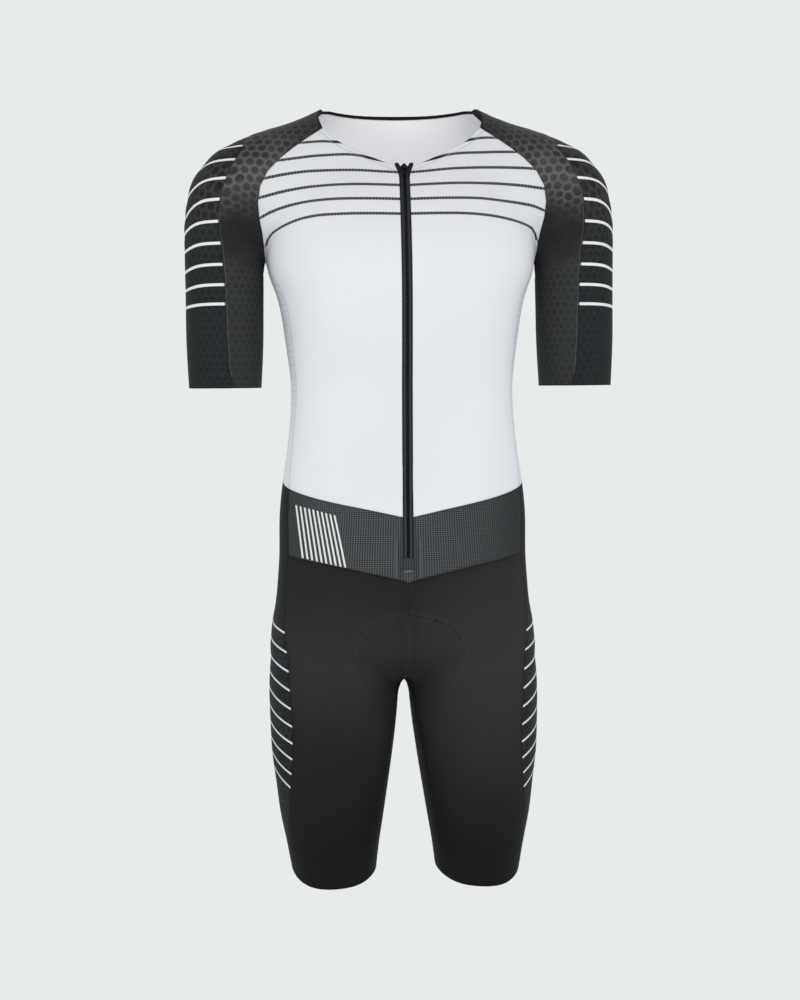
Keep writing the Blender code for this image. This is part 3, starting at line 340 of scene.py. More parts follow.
def worn_form(points):
    """How far points lie outside the worn form; negative is inside."""
    x, y, z = np.abs(points[..., 0]), points[..., 1], points[..., 2]
    width, depth, middle, power = np.moveaxis(smooth_rows(TORSO, z), -1, 0)
    round_torso = ((x / width)**power + (np.abs(y - middle) / depth)**power + 1e-12)**(1 / power)
    torso = np.maximum((round_torso - 1) * np.minimum(width, depth), FORK - z)
    leg_x, leg_y, width, depth = np.moveaxis(smooth_rows(LEG, z), -1, 0)
    round_leg = np.sqrt(((x - leg_x) / width)**2 + ((y - leg_y) / depth)**2 + 1e-12)
    leg = np.maximum((round_leg - 1) * np.minimum(width, depth), z - LEG_TOP)
    arm = np.full(x.shape, 1.0)
    for (ax, az, ar), (bx, bz, br) in zip(ARM_CHAIN[:-1], ARM_CHAIN[1:]):
        dx, dz = bx - ax, bz - az
        t = np.clip(((x - ax) * dx + (z - az) * dz) / (dx * dx + dz * dz), 0, 1)
        off = np.sqrt((x - ax - t * dx)**2 + (z - az - t * dz)**2 + ((y - ARM_Y) / ARM_DEPTH)**2)
        arm = np.minimum(arm, off - ar - t * (br - ar))
    body = joined(torso, leg, np.interp(z, (-0.700, -0.650), (0.010, 0.020)))
    return joined(body, arm, np.interp(z, (-0.180, -0.110), (0.006, 0.036)))


def slope_of(field, points, step):
    """Gradient of a function of places, at each point."""
    rates = [(field(points + move) - field(points - move)) / (2 * step) for move in np.eye(3) * step]
    return np.stack(rates, -1)


def outward(points):
    """Unit normals of the worn form."""
    slope = slope_of(worn_form, points, 0.001)
    return slope / np.linalg.norm(slope, axis=-1, keepdims=True)


def settled(points):
    """Points that lie near the worn form, moved onto it."""
    for _ in range(3):
        slope = slope_of(worn_form, points, 0.0004)
        size = np.maximum((slope**2).sum(-1), 0.05)
        points = points - slope * (worn_form(points) / size)[..., None]
    return points


# Distances round the torso are read off its section at the hips.
HIP_WIDTH, HIP_DEPTH, _, HIP_POWER = TORSO[7, 1:]
turns = np.linspace(0, math.pi, 181)
across, ahead = np.sin(turns), np.cos(turns)
reach = ((across / HIP_WIDTH)**HIP_POWER + (np.abs(ahead) / HIP_DEPTH)**HIP_POWER)**(-1 / HIP_POWER)
HIP_RING = walked(np.column_stack([reach * across, -reach * ahead]))


def round_torso(points):
    """Place on the torso's cloth: metres round from the front's middle, and height."""
    middle = smooth_rows(TORSO, points[:, 2])[:, 2]
    turn = np.abs(np.arctan2(points[:, 0], middle - points[:, 1]))
    return np.column_stack([np.interp(turn, turns, HIP_RING), points[:, 2]])


def line_number(lines, across, height):
    """Which of a set of printed lines points lie on, as a number with its share to the next.

    Each line is a table of places across, which rise, and heights; the first is the highest.
    """
    levels = np.array([smooth_rows(line, across)[..., 0] for line in lines])
    levels = np.vstack([2 * levels[:1] - levels[1:2], levels, 2 * levels[-1:] - levels[-2:-1]])
    gaps = np.maximum(levels[:-1] - levels[1:], 1e-4)
    return np.clip((levels[:-1] - height) / gaps, 0, 1).sum(0) - 1


def printed(right, left, across):
    """Chart of printed lines: the line's number, and how far apart the lines are on the cloth.

    The lines have their own heights on each side; across says how far along them a place is.
    """
    def number(points):
        sides = (line_number(lines, across(points), points[:, 2]) for lines in (left, right))
        return np.where(points[:, 0] > 0, *sides)

    def chart(points):
        normals, slope = outward(points), slope_of(number, points, 0.0005)
        slope -= normals * (slope * normals).sum(-1, keepdims=True)
        apart = 1 / np.maximum(np.linalg.norm(slope, axis=-1), 4.0)
        return np.column_stack([number(points), apart])
    return chart


def beside(vert):
    """The two neighbours on the rim."""
    return [edge.other_vert(vert) for edge in vert.link_edges if edge.is_boundary]


# A rim keeps a sharp corner where it turns by more than this angle.
CORNER = math.radians(38)


def smooth_rim(bm, first):
    """Draw the rim of a finely cut sheet smoothly through the places of its first corners."""
    runs = {vert: [] for vert in bm.verts if vert.is_boundary and vert in first}
    for start in runs:
        for step in beside(start):
            run = [start, step]
            while run[-1] not in first:
                a, b = beside(run[-1])
                run.append(b if a == run[-2] else a)
            runs[start].append(run)
    for start, both in runs.items():
        for run in both:
            end = run[-1]
            if start.index > end.index:
                continue
            chord = first[end] - first[start]
            slopes = []
            for vert, back, sense in ((start, end, 1), (end, start, -1)):
                slope = chord
                other = [r[-1] for r in runs[vert] if r[-1] != back]
                if other:
                    before = (first[vert] - first[other[0]]) * sense
                    if before.angle(chord, math.pi) < CORNER:
                        slope = (before.normalized() + chord.normalized()).normalized() * chord.length
                slopes.append(slope)
            for k, vert in enumerate(run[1:-1], 1):
                vert.co = curve(k / (len(run) - 1), first[start], slopes[0], first[end], slopes[1])


def creases(points):
    """Soft unevenness of worn cloth, in metres along its normal."""
    x, y, z = np.abs(points[:, 0]), points[:, 1], points[:, 2]
    slow = (np.sin(31 * x + 17 * z + 2.1) * np.sin(23 * y - 13 * z + 0.7)
            + 0.6 * np.sin(57 * z + 29 * y + 1.3) * np.sin(41 * x - 19 * y))
    pit = np.exp(-((x - 0.160)**2 + (y - 0.002)**2 + (z + 0.178)**2) / 0.035**2)
    folds = np.sin(620 * (0.55 * x + 0.84 * (z + 0.17)) + 3 * np.sin(40 * y)) * pit
    fork = np.exp(-(x**2 / 0.030**2 + (z - FORK)**2 / 0.022**2))
    gathers = np.sin(760 * (z - FORK) + 240 * x) * fork
    waist = np.exp(-((z + 0.345) / 0.035)**2) * np.sin(290 * z + 16 * x) * np.clip(y / 0.06, -0.4, 1)
    front = y < -0.04
    zip_pull = np.exp(-((x - 0.0105) / 0.0022)**2) * (0.6 + 0.4 * np.sin(210 * z)) * front
    pucker = (np.exp(-(x / 0.012)**2 - ((z + 0.602) / 0.006)**2)
              * np.sin(900 * (z + 0.6) + 160 * x) * front)
    return (0.00022 * slow + 0.00035 * folds + 0.00026 * gathers + 0.00025 * waist
            - 0.00022 * zip_pull + 0.0003 * pucker)


def lifted_fork(points, most=0.0090):
    """Points moved up where the cloth is stretched taut in the fork between the legs."""
    x, z = points[:, 0], points[:, 2]
    rise = most * np.exp(-(x / 0.007)**2 - ((z - FORK) / 0.02)**2)
    return points + np.outer(rise, (0, 0, 1))


def off_rim(places, rim):
    """Distance of each place from a panel's rim, given as the two ends of its edges."""
    near = np.full(len(places), 0.02)
    for start, end in rim:
        way = end - start
        share = np.clip((places - start) @ way / max(way @ way, 1e-12), 0, 1)
        near = np.minimum(near, np.linalg.norm(places - start - share[:, None] * way, axis=1))
    return np.column_stack([near, 0 * near])


def welded(node):
    """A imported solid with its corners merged."""
    bm = bmesh.new()
    bm.from_mesh(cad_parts[node].data)
    bmesh.ops.remove_doubles(bm, verts=bm.verts, dist=2e-5)
    return bm


def squared(bm):
    """Join a solid's triangles in pairs."""
    bmesh.ops.join_triangles(bm, faces=bm.faces, angle_face_threshold=math.pi,
                             angle_shape_threshold=math.pi)


def corners(bm):
    return np.array([vert.co[:] for vert in bm.verts])


def move_corners(bm, places):
    for vert, place in zip(bm.verts, places):
        vert.co = place


CLOTH, RIM_GROWTH, ZIP_HALF = 0.0011, 0.00014, 0.0075
SHEETS, RIMS = {}, {}


def cloth(node, finish, charts, inside=None, cuts=4, tuck=0.0001, bulge=0.0, welt=0.0):
    """Sheet of cloth on the outer face of a panel's solid, which it stands for.

    charts are the panel's UV maps: a name, and the function that gives places on it. The rim
    that is sewn to the zip reaches over the tape by the welt.
    """
    bm = welded(node)
    inner_face = [vert for vert, far in zip(bm.verts, worn_form(corners(bm))) if far < -0.0003]
    bmesh.ops.delete(bm, geom=inner_face, context="VERTS")
    squared(bm)
    bm.verts.index_update()
    first = {vert: vert.co.copy() for vert in bm.verts}
    bmesh.ops.subdivide_edges(bm, edges=bm.edges, cuts=cuts, use_grid_fill=True)
    bm.verts.index_update()
    smooth_rim(bm, first)
    inward = {}
    for vert in bm.verts:
        if vert.is_boundary:
            steps = [edge.other_vert(vert).co - vert.co for edge in vert.link_edges
                     if not edge.is_boundary]
            steps = steps or [face.calc_center_median() - vert.co for face in vert.link_faces]
            inward[vert] = sum(steps, Vector()).normalized()
    for vert, way in inward.items():
        vert.co -= way * RIM_GROWTH
        if abs(vert.co.x) < ZIP_HALF:
            vert.co.x -= math.copysign(welt, vert.co.x)
    places = settled(corners(bm))
    normals = outward(places)
    rim = np.array([vert.is_boundary for vert in bm.verts])
    lift = creases(places) * (1 - 0.6 * rim) - tuck * rim + bulge * ~rim
    move_corners(bm, lifted_fork(places + normals * lift[:, None]))
    rim_ends = [places[[vert.index for vert in edge.verts]] for edge in bm.edges if edge.is_boundary]
    charts = dict(charts, rim=lambda spots: off_rim(spots, rim_ends))
    for chart_name, chart in charts.items():
        layer = bm.loops.layers.uv.new(chart_name)
        spots = chart(places)
        for face in bm.faces:
            for loop in face.loops:
                loop[layer].uv = spots[loop.vert.index]
    left, runs = dict.fromkeys(inward), []
    while left:
        run, ahead = [], [left.popitem()[0]]
        while ahead:
            run.append(ahead[0])
            left.pop(ahead[0], None)
            ahead = [vert for vert in beside(run[-1]) if vert in left]
        runs.append((np.array([vert.co[:] for vert in run]),
                     np.array([inward[vert][:] for vert in run])))
    for face in bm.faces:
        face.smooth = True
    for edge in bm.edges:
        edge.smooth = not edge.is_boundary
    area = sum(face.calc_area() for face in bm.faces)
    piece = built(f"{node}_cloth", bm, finish, inside or finish, smooth=False)
    SHEETS[node], RIMS[node] = (piece, area), (finish.slot, runs)
    solid = piece.modifiers.new("wall", "SOLIDIFY")
    solid.thickness, solid.offset, solid.material_offset = CLOTH, -1.0, 1
    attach(piece, "suit")
    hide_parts(node)


def thread(name, tone):
    """Matt sewing thread, a little uneven in tone."""
    made = Finish(name, None, shine=0.2)
    dark = [value * 0.86 for value in tone]
    made.feed("Base Color", made.blend(made.mottle(900.0).rise(0.3, 0.7), dark, tone))
    return made


# Stitches: from one to the next, length and thickness
PITCH, LONG, THICK = 0.0030, 0.0021, 0.0004


def stitched(node, row_name, yarn, kept, inset=0.0017):
    """Row of stitches inside a panel's rim, wherever kept says so of places out and up."""
    bm = bmesh.new()
    slot, runs = RIMS[node]
    for places, inward in runs:
        places, inward = np.vstack([places, places[:1]]), np.vstack([inward, inward[:1]])
        use = np.flatnonzero(kept(np.abs(places[:, 0]), places[:, 2]))
        for run in np.split(use, np.flatnonzero(np.diff(use) > 1) + 1):
            if len(run) < 3:
                continue
            row = settled(places[run] + inward[run] * inset)
            row[1:-1] = (row[:-2] + 2 * row[1:-1] + row[2:]) / 4
            row = settled(row)
            ways = outward(row)
            row = lifted_fork(row + ways * (creases(row) * 0.8)[:, None])
            far = walked(row)
            count = int(far[-1] / PITCH)
            spots = (np.arange(count) + 0.5) * far[-1] / max(count, 1)
            for spot in spots:
                k = min(int(np.searchsorted(far, spot)), len(far) - 1)
                share = (spot - far[k - 1]) / (far[k] - far[k - 1])
                middle = row[k - 1] + (row[k] - row[k - 1]) * share
                along = Vector(row[k] - row[k - 1]).normalized()
                out = Vector(ways[k])
                out = (out - along * out.dot(along)).normalized()
                turn = Matrix((along, out.cross(along), out)).transposed().to_4x4()
                size = Matrix.Diagonal((LONG, THICK, THICK, 1))
                bmesh.ops.create_icosphere(bm, subdivisions=1, radius=0.5,
                                           matrix=Matrix.Translation(middle) @ turn @ size)
    piece = built(f"{node}_{row_name}", bm, yarn)
    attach(piece, "suit")


# Stripes over the chest, from the zip outwards. Columns: distance from the middle, height
CHEST_LINES = [np.array(line) for line in (
    [(0.0000, -0.0560), (0.0705, -0.0460), (0.0940, -0.0440), (0.1170, -0.0450)],
    [(0.0000, -0.0690), (0.0210, -0.0700), (0.0350, -0.0668), (0.0515, -0.0622),
     (0.0930, -0.0610), (0.1490, -0.0665)],
    [(0.0056, -0.0832), (0.0230, -0.0822), (0.0540, -0.0800), (0.0850, -0.0793),
     (0.1160, -0.0800), (0.1420, -0.0832), (0.1660, -0.0880)],
    [(0.0064, -0.0985), (0.0300, -0.0976), (0.0590, -0.0968), (0.0900, -0.0973),
     (0.1160, -0.0990), (0.1420, -0.1032), (0.1690, -0.1100)],
    [(0.0070, -0.1150), (0.0500, -0.1140), (0.0900, -0.1142), (0.1180, -0.1166),
     (0.1390, -0.1208), (0.1560, -0.1266), (0.1680, -0.1330)],
    [(0.0080, -0.1325), (0.0400, -0.1318), (0.0740, -0.1318), (0.1065, -0.1335),
     (0.1235, -0.1368), (0.1390, -0.1425), (0.1480, -0.1470), (0.1550, -0.1525),
     (0.1590, -0.1600), (0.1610, -0.1680)],
)]
# How much higher they lie at the wearer's left. Columns: distance from the middle, each stripe
CHEST_LIFT = np.array([
    (0.010, 0.0000, 0.0000, 0.0000, 0.0000, 0.0000, 0.0000),
    (0.045, 0.0000, 0.0002, 0.0012, 0.0007, 0.0002, 0.0000),
    (0.069, 0.0008, 0.0012, 0.0022, 0.0012, 0.0005, 0.0000),
    (0.093, 0.0038, 0.0031, 0.0032, 0.0022, 0.0005, -0.0006),
    (0.117, 0.0054, 0.0061, 0.0044, 0.0037, 0.0008, -0.0015),
    (0.141, 0.0060, 0.0095, 0.0071, 0.0062, 0.0034, 0.0021),
    (0.165, 0.0060, 0.0120, 0.0105, 0.0095, 0.0075, 0.0075),
])
CHEST_LEFT = [line + np.outer(np.interp(line[:, 0], CHEST_LIFT[:, 0], lift), (0, 1))
              for line, lift in zip(CHEST_LINES, CHEST_LIFT.T[1:])]


def white_finish(name, slot, white, print_kind=None, holes=False, knit=0.0007):
    """White knit; printed with stripes, dashed or solid, or pierced by rows of small holes."""
    made = Finish(name, slot, 0.65, 0.2, Sheen_Weight=0.04, Sheen_Roughness=0.5)
    u, v, _ = made.place("cloth")
    height = made.knit(knit)
    x, _, z = made.place()
    shade = made.mottle(9.0).rise(0.3, 0.7)
    colour = made.blend(shade, [value - 4 for value in white], white)
    if print_kind or holes:
        # Painted shade: a bluish tint towards the sides, and a grey over the upper chest
        colour = made.layered(colour, (u.rise(0.10, 0.17) * 0.5, (230, 231, 240)),
                              (z.rise(-0.22, -0.07), (214, 215, 219)))
    if holes:
        hole_u, hole_v = (u / 0.0026).off_centre() * 0.0026, (v / 0.0022).off_centre() * 0.0022
        hole = (hole_u * hole_u + hole_v * hole_v).root().rise(0.0004, 0.0007, 1.0, 0.0)
        rib = (v / 0.0078).off_centre().rise(0.04, 0.12, 0.3, 0.0) * z.rise(-0.40, -0.29, 0.25, 1.0)
        # Painted shade: the holes are a bluish grey for the shaded inside seen through them; they are
        # also sunk as a bump
        colour = made.layered(colour, (hole * 0.5, (150, 156, 168)), (rib, (160, 166, 180)))
        height = height * (1 - hole) - hole
    if print_kind:
        line = made.stripes(len(CHEST_LINES), 0.0014, 0.0021)
        if print_kind == "dashed":
            line = line * (x / 0.0037).off_centre().rise(0.15, 0.45, 1.0, 0.80)
        colour = made.blend(line, colour, (22, 24, 27))
    # Painted shade: a thin bluish grey line along the panel's rim, where it is seamed
    made.feed("Base Color", made.blend(made.rim(0.0002, 0.0013, 0.26), colour, (120, 124, 132)))
    made.relief(height, 0.00006, 0.5)
    return made


white = white_finish("white_knit", "white_cloth", (229, 230, 233), "dashed")
# Painted light: the inside is a lighter white that glows faintly, standing in for daylight that comes
# through the thin cloth
glowing_lining = white_finish("white_lining", "white_cloth", (238, 238, 241))
glowing_lining.shader.inputs["Emission Color"].default_value = (0.9, 0.92, 0.95, 1.0)
glowing_lining.shader.inputs["Emission Strength"].default_value = 0.14
torso_maps = {"cloth": round_torso,
              "print": printed(CHEST_LINES, CHEST_LEFT, lambda points: np.abs(points[:, 0]))}
white_thread = thread("white_thread", (222, 224, 228))
for side in SIDES:
    cloth(f"front_{side}", white, torso_maps, glowing_lining, tuck=0.00022, welt=0.0006)
    stitched(f"front_{side}", "seam", white_thread,
             lambda out, up: (out > 0.06) | (up < -0.475) & (out > 0.012))

# ---- Neck band ----
# The front neckline is turned in and stitched down as a narrow ribbed hem. The stripes
# run over it as plain dark lines.
hem_white = white_finish("white_hem", "white_hem", (215, 216, 221), "solid", knit=0.0012)
for side in SIDES:
    cloth(f"neck_band_{side}", hem_white, torso_maps, glowing_lining, bulge=0.0002)
    stitched(f"neck_band_{side}", "seam", white_thread,
             lambda out, up: (out > 0.009) & (out < 0.090), inset=0.0012)

# ---- Back body ----
# One white panel from the neck to the waist, of the same knit as the fronts and without
# stripes. It is flat-seamed to the sleeves, the sides and the belt.
plain_white = white_finish("white_knit_back", "white_cloth", (229, 230, 233))
cloth("back", plain_white, {"cloth": round_torso}, glowing_lining, tuck=0.00022)
stitched("back", "seam", white_thread, lambda out, up: (up < -0.012) | (out > 0.085))

# ---- Side panels ----
# White perforated knit under the arms, for cooling, down to the waist. Each panel is
# flat-seamed all round, between the front and the back.
pierced = white_finish("white_perforated", "white_perforated_cloth", (228, 231, 239), holes=True)
side_thread = thread("side_thread", (196, 201, 210))
for side in SIDES:
    cloth(f"side_{side}", pierced, {"cloth": round_torso}, tuck=0.00022)
    stitched(f"side_{side}", "seam", side_thread, lambda out, up: up < 0)

# ---- Neck binding ----
# A narrow black strip of knit is folded over the raw edge of the back neck and stitched
# down, from one raglan seam to the other.


def black_finish(name, low, high):
    """Dark knit with next to no shine, a little uneven between two tones."""
    made = Finish(name, "black_cloth")
    made.feed("Base Color", made.blend(made.mottle(7.0).rise(0.3, 0.7), low, high))
    made.relief(made.knit(0.0008), 0.00008, 0.5)
    return made


binding = black_finish("black_binding", (22, 23, 25), (28, 29, 31))
cloth("neck_binding", binding, {"cloth": round_torso}, bulge=0.0005)

# ---- Sleeves ----
# Raglan sleeves: a dotted front and back panel, and a dark outer panel with nine white
# stripes. The dots stand out most over the shoulder and fade towards the hem.
ARM_ROUND, DOT_SHAPE = 0.050, 1.7


def round_arm(points):
    """Place on a sleeve: metres round from its outermost line, and down along the arm."""
    x, y, z = np.abs(points[:, 0]), points[:, 1], points[:, 2]
    starts, heading = ARM_CHAIN[:-1, :2], np.diff(ARM_CHAIN[:, :2], axis=0)
    length = np.linalg.norm(heading, axis=1)
    from_start = np.stack([x, z], 1)[:, None] - starts[None]
    t = np.clip((from_start * heading).sum(-1) / length**2, 0, 1)
    off = from_start - t[..., None] * heading
    far = np.linalg.norm(off, axis=-1)
    pull = np.exp(-(far - far.min(1, keepdims=True)) / 0.006)
    pull /= pull.sum(1, keepdims=True)
    along = (pull * (walked(ARM_CHAIN[:, :2])[:-1] + t * length)).sum(1)
    aside = np.column_stack([-heading[:, 1], heading[:, 0]]) / length[:, None]
    out = (pull * (off * aside).sum(-1)).sum(1)
    return np.column_stack([ARM_ROUND * np.abs(np.arctan2((y - ARM_Y) / ARM_DEPTH, out)), along])


# Steps down the arm, the pitch of the dots at each, and the row of dots it has come to
DOT_STEPS = np.linspace(0, 0.6, 301)
DOT_PITCH = np.interp(DOT_STEPS, (0.16, 0.25), (0.0106, 0.0098))
DOT_ROWS = np.concatenate([[0.0], np.cumsum(DOT_STEPS[1] / (DOT_SHAPE * DOT_PITCH[:-1]))])


def sleeve_dots(points):
    """Place on a sleeve in cells of its dotted print, which are higher than wide."""
    around, along = round_arm(points).T
    return np.column_stack([around / np.interp(along, DOT_STEPS, DOT_PITCH),
                            np.interp(along, DOT_STEPS, DOT_ROWS)])


# The sleeve's white stripes. Columns: height at the front seam, drop to the outer side
SLEEVE_STRIPES = np.array([
    (-0.0450, 0.0020), (-0.0640, 0.0040), (-0.0858, 0.0107), (-0.1109, 0.0110), (-0.1362, 0.0070),
    (-0.1615, 0.0047), (-0.1862, 0.0043), (-0.2099, 0.0033), (-0.2325, 0.0018),
])
# How they run round the arm. Columns: distance from the arm's middle plane, share of the drop
STRIPE_RUN = np.array([(0.0, 1.78), (0.006, 1.75), (0.012, 1.62), (0.018, 1.42), (0.024, 1.17),
                       (0.030, 0.88), (0.036, 0.56), (0.042, 0.29), (0.050, 0.07), (0.058, 0.0),
                       (0.090, 0.0)])
SLEEVE_LINES = [np.column_stack([STRIPE_RUN[:, 0], seam - STRIPE_RUN[:, 1] * drop])
                for seam, drop in SLEEVE_STRIPES]
SLEEVE_LINES[1] = np.array([(0.0, -0.0745), (0.006, -0.0739), (0.012, -0.0721), (0.018, -0.0697),
                            (0.024, -0.0674), (0.030, -0.0657), (0.038, -0.0644), (0.050, -0.0636),
                            (0.090, -0.0636)])


def lowered(lines, first, more, power):
    """Printed lines moved down, the first one by a little and the last by that much more."""
    return [line - (0, first + more * (k / (len(lines) - 1))**power) for k, line in enumerate(lines)]


def dots_of(made):
    """1 on the round dots of a staggered print, soft at their edges, and 0 between them."""
    u, v, _ = made.place("dots")
    near = []
    for shift in (0.0, 0.5):
        du, dv = (u + shift).off_centre(), (v + shift).off_centre() * DOT_SHAPE
        near.append((du * du + dv * dv).root())
    return near[0].smaller(near[1]).rise(0.27, 0.50, 1.0, 0.0)


def sleeve_finish(name, slot, striped):
    """Dark knit with darker round dots; striped adds the white stripes."""
    made = Finish(name, slot)
    x, y, z = made.place()
    cloudy = made.mottle(45.0, 2.0).rise(0.25, 0.75)
    dots = dots_of(made) * cloudy.rise(0.0, 1.0, 0.7, 1.0) * z.rise(-0.19, -0.13, 0.85, 1.0)
    height = z / 0.34 + 1.0 + (cloudy - 0.5) * 0.05
    if striped:
        ground = made.ramp(height, (
            (0.00, (37, 40, 42)), (0.45, (38, 41, 43)), (0.60, (48, 50, 51)), (0.74, (58, 59, 58)),
            (0.90, (44, 46, 47))))
        seamward = abs(y - ARM_Y).rise(0.012, 0.050)
        colour = made.layered(
            made.blend(seamward, (33, 35, 38), ground),
            (dots * seamward.rise(0.0, 1.0, 0.45, 0.95), (26, 28, 31)),
            (made.stripes(len(SLEEVE_LINES), 0.0014, 0.0020), (228, 229, 230)))
    else:
        ground = made.ramp(height, (
            (0.00, (50, 52, 54)), (0.42, (53, 55, 56)), (0.535, (32, 33, 35)), (0.585, (33, 34, 35)),
            (0.66, (66, 66, 65)), (0.74, (98, 98, 95)), (0.90, (72, 72, 71))))
        neckward = abs(x).rise(0.105, 0.150, 1.0, 0.0)
        bound = abs(x).rise(0.0965, 0.0995, 1.0, 0.0)
        colour = made.layered(ground, (neckward * 0.75, (49, 51, 52)),
                              (dots * 0.88, (38, 39, 40)), (bound, (33, 34, 36)))
    # Painted shade: a dark line along the panel's rim
    made.feed("Base Color", made.blend(made.rim(0.0002, 0.0015, 0.55), colour, (18, 19, 20)))
    made.relief(made.knit(0.0008), 0.00008, 0.5)
    return made


dotted = sleeve_finish("black_dotted", "black_dotted_cloth", False)
striped = sleeve_finish("black_striped", "black_striped_cloth", True)
unprinted = black_finish("black_unprinted", (30, 32, 34), (37, 39, 41))
sleeve_print = printed(SLEEVE_LINES, lowered(SLEEVE_LINES, 0.0006, 0.0018, 1.5),
                       lambda points: np.abs(points[:, 1] - ARM_Y))
sleeve_maps = {"cloth": round_arm, "dots": sleeve_dots, "print": sleeve_print}
black_thread = thread("black_thread", (44, 46, 48))
grey_thread = thread("grey_thread", (152, 154, 156))
SLEEVE_HEM, SHOULDER, HEM_DEPTH = -0.3295, -0.120, 0.0205
for side in SIDES:
    for part in ("front", "outer", "back"):
        node = f"sleeve_{part}_{side}"
        cloth(node, striped if part == "outer" else dotted, sleeve_maps, unprinted)
        stitched(node, "hem", black_thread, lambda out, up: up < SLEEVE_HEM, HEM_DEPTH)
        if part != "outer":
            stitched(node, "outer_seam", grey_thread,
                     lambda out, up: (out > 0.203) & (up < SHOULDER) & (up > SLEEVE_HEM))
            stitched(node, "raglan_seam", black_thread,
                     lambda out, up: (out < 0.19) | (up > SHOULDER))

# ---- Belt ----
# A wide waistband of grey fine-checked knit, V-shaped in front. Ten slanted white lines
# are printed on its wearer's right half.
# Upper and lower ends of the first and last line. Rows: places across, heights
BELT_TOPS = (-0.1284, -0.0850), (-0.4690, -0.4800)
BELT_FEET = (-0.1215, -0.0730), (-0.5310, -0.5410)
BELT_LINES = 10


def belt_print(points):
    """Number of the line that places lie on, and how far down the line they are."""
    x, z = points[:, 0], points[:, 2]
    top, bottom = np.interp(x, *BELT_TOPS), np.interp(x, *BELT_FEET)
    share = (top - z) / (top - bottom)
    first, last = (up + (down - up) * share for up, down in zip(BELT_TOPS[0], BELT_FEET[0]))
    number = (BELT_LINES - 1) * (x - first) / (last - first)
    return np.column_stack([number + 2 * BELT_LINES * (points[:, 1] > 0), share])


grey = Finish("grey_checked", "grey_checked_cloth")
u, v, _ = grey.place("cloth")
columns = (u / 0.00284).off_centre().rise(0.22, 0.40)
rows = (v / 0.00242).off_centre().rise(0.22, 0.42)
checks = (columns * 0.80).larger(rows * 0.70)
x, y, z = grey.place()
front = y < 0.0
zipside = z.near(-0.533, 0.024, 0.014) * front
doubled = (abs(x) < 0.0080) * z.near(-0.5370, 0.0075, 0.0006) * front
stitch = (z - x * 0.06).near(-0.5456, 0.0007, 0.0005) * (abs(x) < 0.0055) * front
number, share, _ = grey.place("print")
line = number.off_centre().rise(0.16, 0.25, 1.0, 0.0) * (number > -0.5) * (number < BELT_LINES - 0.5)
line = line * (share > 0.0) * (share < 1.0)
# Painted shade and highlight: a dark and a light line on each side of the zip's foot, for small folds
# there, and a dark line along the panel's rim
grey.feed("Base Color", grey.layered(
    grey.blend(checks, (27, 29, 31), (94, 97, 99)),
    (abs(x).rise(0.095, 0.145) * 0.55, (38, 40, 42)),
    (x.rise(0.020, 0.140) * 0.50, (32, 34, 36)),
    (abs(x).near(0.0108, 0.0022, 0.0016) * zipside * 0.40, (32, 34, 36)),
    (abs(x).near(0.0140, 0.0012, 0.0012) * zipside * 0.25, (118, 121, 123)),
    (doubled * 0.45, (40, 42, 44)), (stitch * 0.7, (125, 128, 130)),
    (grey.rim(0.0003, 0.0020, 0.35), (30, 32, 34)), (line, (228, 229, 230))))
grey.relief(checks, 0.00012, 0.6)
belt_maps = {"cloth": round_torso, "print": belt_print}
for node in ("belt_left", "belt_right", "belt_back"):
    cloth(node, grey, belt_maps)
    stitched(node, "seam", black_thread, lambda out, up: (out > 0.012) & (out < 0.136))
cloth("zip_end", grey, belt_maps, cuts=2)

# ---- Shorts ----
# Black, denser knit. The fronts and backs meet at the middle, and narrow inner panels join
# them between the legs. The pad inside shows as a faint outline: a painted line of shade with
# a painted highlight beside it.
LEG_ROUND, LEG_HEM = 0.075, -0.892


def round_leg(points):
    """Place on a leg's cloth: metres round from its outermost line, and height."""
    centre = smooth_rows(LEG, points[:, 2])
    turn = np.arctan2(points[:, 1] - centre[:, 1], np.abs(points[:, 0]) - centre[:, 0])
    return np.column_stack([LEG_ROUND * np.abs(turn), points[:, 2]])


# The rim of the pad that is sewn inside the shorts, over one side of the body
PAD_EDGE = np.array([
    (0.0, -0.1025, -0.597), (0.023, -0.102, -0.601), (0.056, -0.0985, -0.619),
    (0.0655, -0.095, -0.645), (0.061, -0.087, -0.678), (0.048, -0.052, -0.706),
    (0.012, 0.0, -0.738), (0.038, 0.052, -0.724), (0.06, 0.088, -0.705), (0.082, 0.108, -0.67),
    (0.076, 0.12, -0.635), (0.03, 0.129, -0.615), (0.0, 0.128, -0.612),
])
PAD_LINE = drawn(PAD_EDGE, 160)


def off_pad_edge(points):
    """Distance from the line above the pad's edge."""
    mirrored = np.abs(points * (1, 0, 0)) + points * (0, 1, 1)
    off = np.linalg.norm(mirrored[:, None] - PAD_LINE[None], axis=-1).min(1)
    return np.column_stack([off, 0 * off])


black = Finish("black_knit", "black_cloth")
x, y, z = black.place()
taut = z.near(-0.655, 0.055, 0.050).larger(abs(x).rise(0.020, 0.060, 1.0, 0.0) * (z < -0.655))
off_edge, _, _ = black.place("pad")
# The pad's edge is painted: a patchy dark line of shade with a faint painted highlight beside it; the
# line is also sunk as a bump.
patchy = black.mottle(28.0, 1.0).rise(0.35, 0.65, 0.45, 1.0) * z.rise(-0.700, -0.672)
outline = off_edge.rise(0.0004, 0.0022, 1.0, 0.0) * patchy
lit_edge = off_edge.near(0.0040, 0.0020, 0.0018) * patchy
# Painted shade: a dark line along the seams and a broad soft darkening towards them, kept faint at
# the middle seam and left out of it lower down
sewn = abs(x).rise(0.003, 0.006).larger(z.rise(-0.605, -0.590, 0.0, 0.35))
sewn = sewn * (black.rim(0.0003, 0.0034, 0.60) + black.rim(0.0, 0.0190, 0.22))
